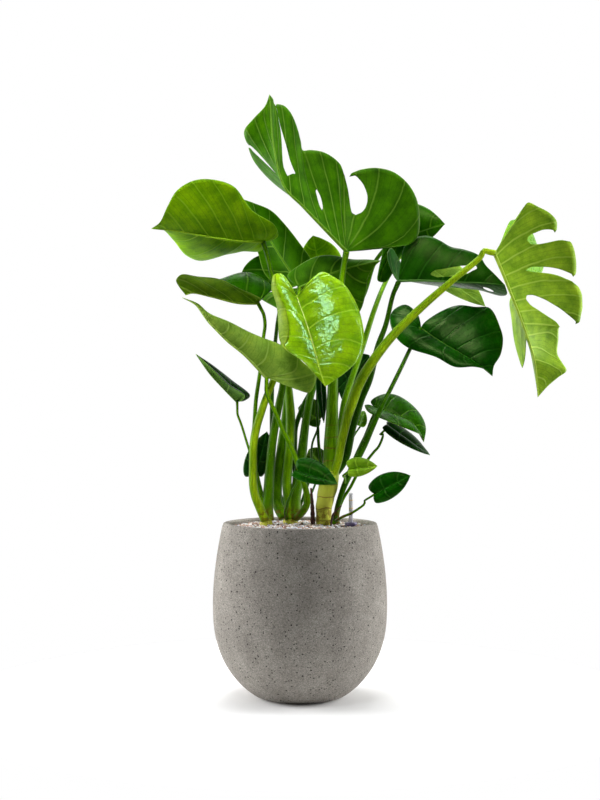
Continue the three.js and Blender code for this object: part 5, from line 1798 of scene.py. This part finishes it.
class PLANT_OT_gauge(bpy.types.Operator):
    """Builds the water gauge"""

    bl_idname = "plant.gauge"
    bl_label = "Water gauge"

    def execute(self, context):
        select_none()
        settle(gauge_casing_mesh(gauge_plastic()), "gauge_plastic", "gauge_casing")
        settle(gauge_tube_mesh(clear_plastic()), "gauge_clear", "gauge_tube")
        settle(gauge_rod_mesh(indicator_plastic()), "gauge_indicator", "gauge_rod")
        return {"FINISHED"}


class PLANT_OT_shoots(bpy.types.Operator):
    """Builds the stalks and the roots that stand out of the granules"""

    bl_idname = "plant.shoots"
    bl_label = "Stalks and roots"

    def execute(self, context):
        select_none()
        skin = stalk_skin()
        for name, plan in SHOOTS.items():
            settle(shoot_mesh(name + "_stalks", plan, skin), "stalk", name)
        bark = root_bark()
        for name, plan in AERIAL_ROOTS.items():
            settle(root_mesh(name + "_bark", plan, bark), "root", name)
        return {"FINISHED"}


class PLANT_OT_leaves(bpy.types.Operator):
    """Builds the leaf blades"""

    bl_idname = "plant.leaves"
    bl_label = "Leaves"

    def execute(self, context):
        select_none()
        wave = context.scene.plant_settings.leaf_wave / MM
        for name, plan in LEAVES.items():
            upper, lower, upper_vein, lower_vein = LEAF_TONES[plan["slot"]]
            if name in LEAF_GREENS:
                upper, lower = (GREENS[green] for green in LEAF_GREENS[name])
            tone = plan["slot"][5:]
            materials = [
                shared_material(f"{tone}_leaf_upper_skin", leaf_upper, upper_vein),
                shared_material(f"{tone}_leaf_lower_skin", leaf_lower, lower_vein),
            ]
            piece = leaf_mesh(name + "_blade", plan, materials, wave)
            colour_faces(piece, linear(upper), linear(lower))
            hold(piece, "gloss", np.full(len(piece.data.vertices), LEAF_GLOSS.get(name, PLAIN_GLOSS)))
            settle(piece, plan["slot"], name)
            if name in ROLLED_MARGINS:
                roll = ROLLED_MARGINS[name]
                piece = rolled_margin_mesh(name + "_rolled_margin", plan, roll, [materials[1]], wave)
                colour_faces(piece, linear(upper), linear(ROLLED_GREEN))
                hold(piece, "gloss", np.full(len(piece.data.vertices), ROLLED_GLOSS))
                settle(piece, plan["slot"], name)
        return {"FINISHED"}


def hold(piece, name, values):
    """Stores a number for each vertex of the piece under a name."""
    layer = piece.data.attributes.new(name, "FLOAT", "POINT")
    layer.data.foreach_set("value", values.astype(np.float32))


def colour_faces(piece, upper, lower):
    """Stores the leaf's colours, of its upper face and of its lower face, which is paler partly as painted
    light shining through the blade.
    """
    mesh = piece.data
    count = len(mesh.vertices)
    sides = np.zeros(count, dtype=np.float32)
    mesh.attributes["lower"].data.foreach_get("value", sides)
    layer = mesh.attributes.new("face", "FLOAT_COLOR", "POINT")
    colours = np.where(sides[:, None] > 0.5, np.array(lower), np.array(upper)).astype(np.float32)
    layer.data.foreach_set("color", colours.ravel())


FLOOR_RADIUS = 0.7

# Each softbox: its name, where it stands and what it faces, in metres, its width, its spread in degrees and
# its power in watts. The weak one at the front only adds glints to the young leaf.
SOFTBOXES = (
    ("softbox_left", (-2.4, 0.4, 0.9), (0, 0, 0.5), 1.6, 180, 76),
    ("softbox_right", (2.4, 0.4, 0.9), (0, 0, 0.5), 1.6, 180, 66),
    ("softbox_top", (0.0, 0.5, 3.0), (0, 0, 0.6), 2.0, 180, 60),
    ("softbox_gloss", (0.3, -1.9, 1.8), (0.03, -0.1, 0.75), 0.9, 60, 2.4),
    ("softbox_key", (-0.35, -1.1, 2.1), (-0.04, 0, 1.0), 0.9, 44, 2.2),
)


class PLANT_OT_stage(bpy.types.Operator):
    """Sets up the floor, the studio light and the camera"""

    bl_idname = "plant.stage"
    bl_label = "Floor, light and camera"

    def execute(self, context):
        select_none()
        bpy.context.scene.view_settings.view_transform = "Standard"
        bpy.ops.mesh.primitive_circle_add(vertices=96, radius=FLOOR_RADIUS, fill_type="NGON")
        floor = bpy.context.object
        floor.name = "studio_floor"
        floor.data.materials.append(pale_floor())
        studio_world()
        for name, place, aim, size, spread, power in SOFTBOXES:
            light = bpy.data.lights.new(name, "AREA")
            light.shape = "DISK"
            light.size = size
            light.spread = math.radians(spread)
            light.energy = power
            lamp = bpy.data.objects.new(name, light)
            lamp.location = place
            lamp.rotation_euler = (Vector(aim) - Vector(place)).to_track_quat("-Z", "Y").to_euler()
            lamp.visible_diffuse = name != "softbox_gloss"
            bpy.context.collection.objects.link(lamp)
        camera = bpy.data.cameras.new("view")
        camera.sensor_fit = "AUTO"
        camera.sensor_width = 36
        camera.lens = 36 * VIEW_DISTANCE / PHOTO_HEIGHT_AT_AXIS
        viewer = bpy.data.objects.new("view", camera)
        viewer.location = (0, -VIEW_DISTANCE * MM, EYE_HEIGHT * MM)
        viewer.rotation_euler = (math.pi / 2, 0, 0)
        bpy.context.collection.objects.link(viewer)
        bpy.context.scene.camera = viewer
        return {"FINISHED"}


def studio_world():
    """A white backdrop all round, and soft light from the sides and the back more than from the front."""
    world = bpy.data.worlds.new("studio")
    bpy.context.scene.world = world
    world.use_nodes = True
    tree = world.node_tree
    direction = node(tree, "TexCoord").outputs["Generated"]
    towards = node(tree, "SeparateXYZ", links={"Vector": direction}).outputs["Y"]
    light = ramp_of(tree, math_of(tree, "MULTIPLY_ADD", towards, 0.5, 0.5), [
        (0.0, (0.05, 0.052, 0.055, 1.0)), (0.3, (0.06, 0.062, 0.065, 1.0)), (0.46, (0.25, 0.255, 0.26, 1.0)),
        (0.6, (0.6, 0.61, 0.63, 1.0)), (0.93, (0.8, 0.8, 0.8, 1.0)), (0.965, (1.0, 1.0, 1.0, 1.0)),
    ])
    seen = node(tree, "LightPath").outputs["Is Camera Ray"]
    tree.links.new(mixed(tree, seen, light, (1.0, 1.0, 1.0, 1.0)), tree.nodes["Background"].inputs["Color"])


class PLANT_PT_panel(bpy.types.Panel):
    """The plant's settings, and its operators in the order in which they are run"""

    bl_label = "Potted monstera"
    bl_idname = "PLANT_PT_panel"
    bl_space_type = "VIEW_3D"
    bl_region_type = "UI"
    bl_category = "Plant"

    def draw(self, context):
        column = self.layout.column()
        for setting in ("leaf_wave", "seed", "granule_tries"):
            column.prop(context.scene.plant_settings, setting)
        for operator in OPERATORS:
            column.operator(operator.bl_idname)


OPERATORS = (
    PLANT_OT_planter, PLANT_OT_granules, PLANT_OT_gauge, PLANT_OT_shoots, PLANT_OT_leaves, PLANT_OT_stage,
)


def register():
    """Adds the settings, the operators and the panel."""
    for item in (PlantSettings, *OPERATORS, PLANT_PT_panel):
        bpy.utils.register_class(item)
    bpy.types.Scene.plant_settings = bpy.props.PointerProperty(type=PlantSettings)


def unregister():
    """Takes away the settings, the operators and the panel."""
    del bpy.types.Scene.plant_settings
    for item in reversed((PlantSettings, *OPERATORS, PLANT_PT_panel)):
        bpy.utils.unregister_class(item)


def main():
    """Builds the plant and its stage."""
    register()
    bpy.ops.plant.planter()
    bpy.ops.plant.granules()
    bpy.ops.plant.gauge()
    bpy.ops.plant.shoots()
    bpy.ops.plant.leaves()
    bpy.ops.plant.stage()


if __name__ == "__main__":
    main()
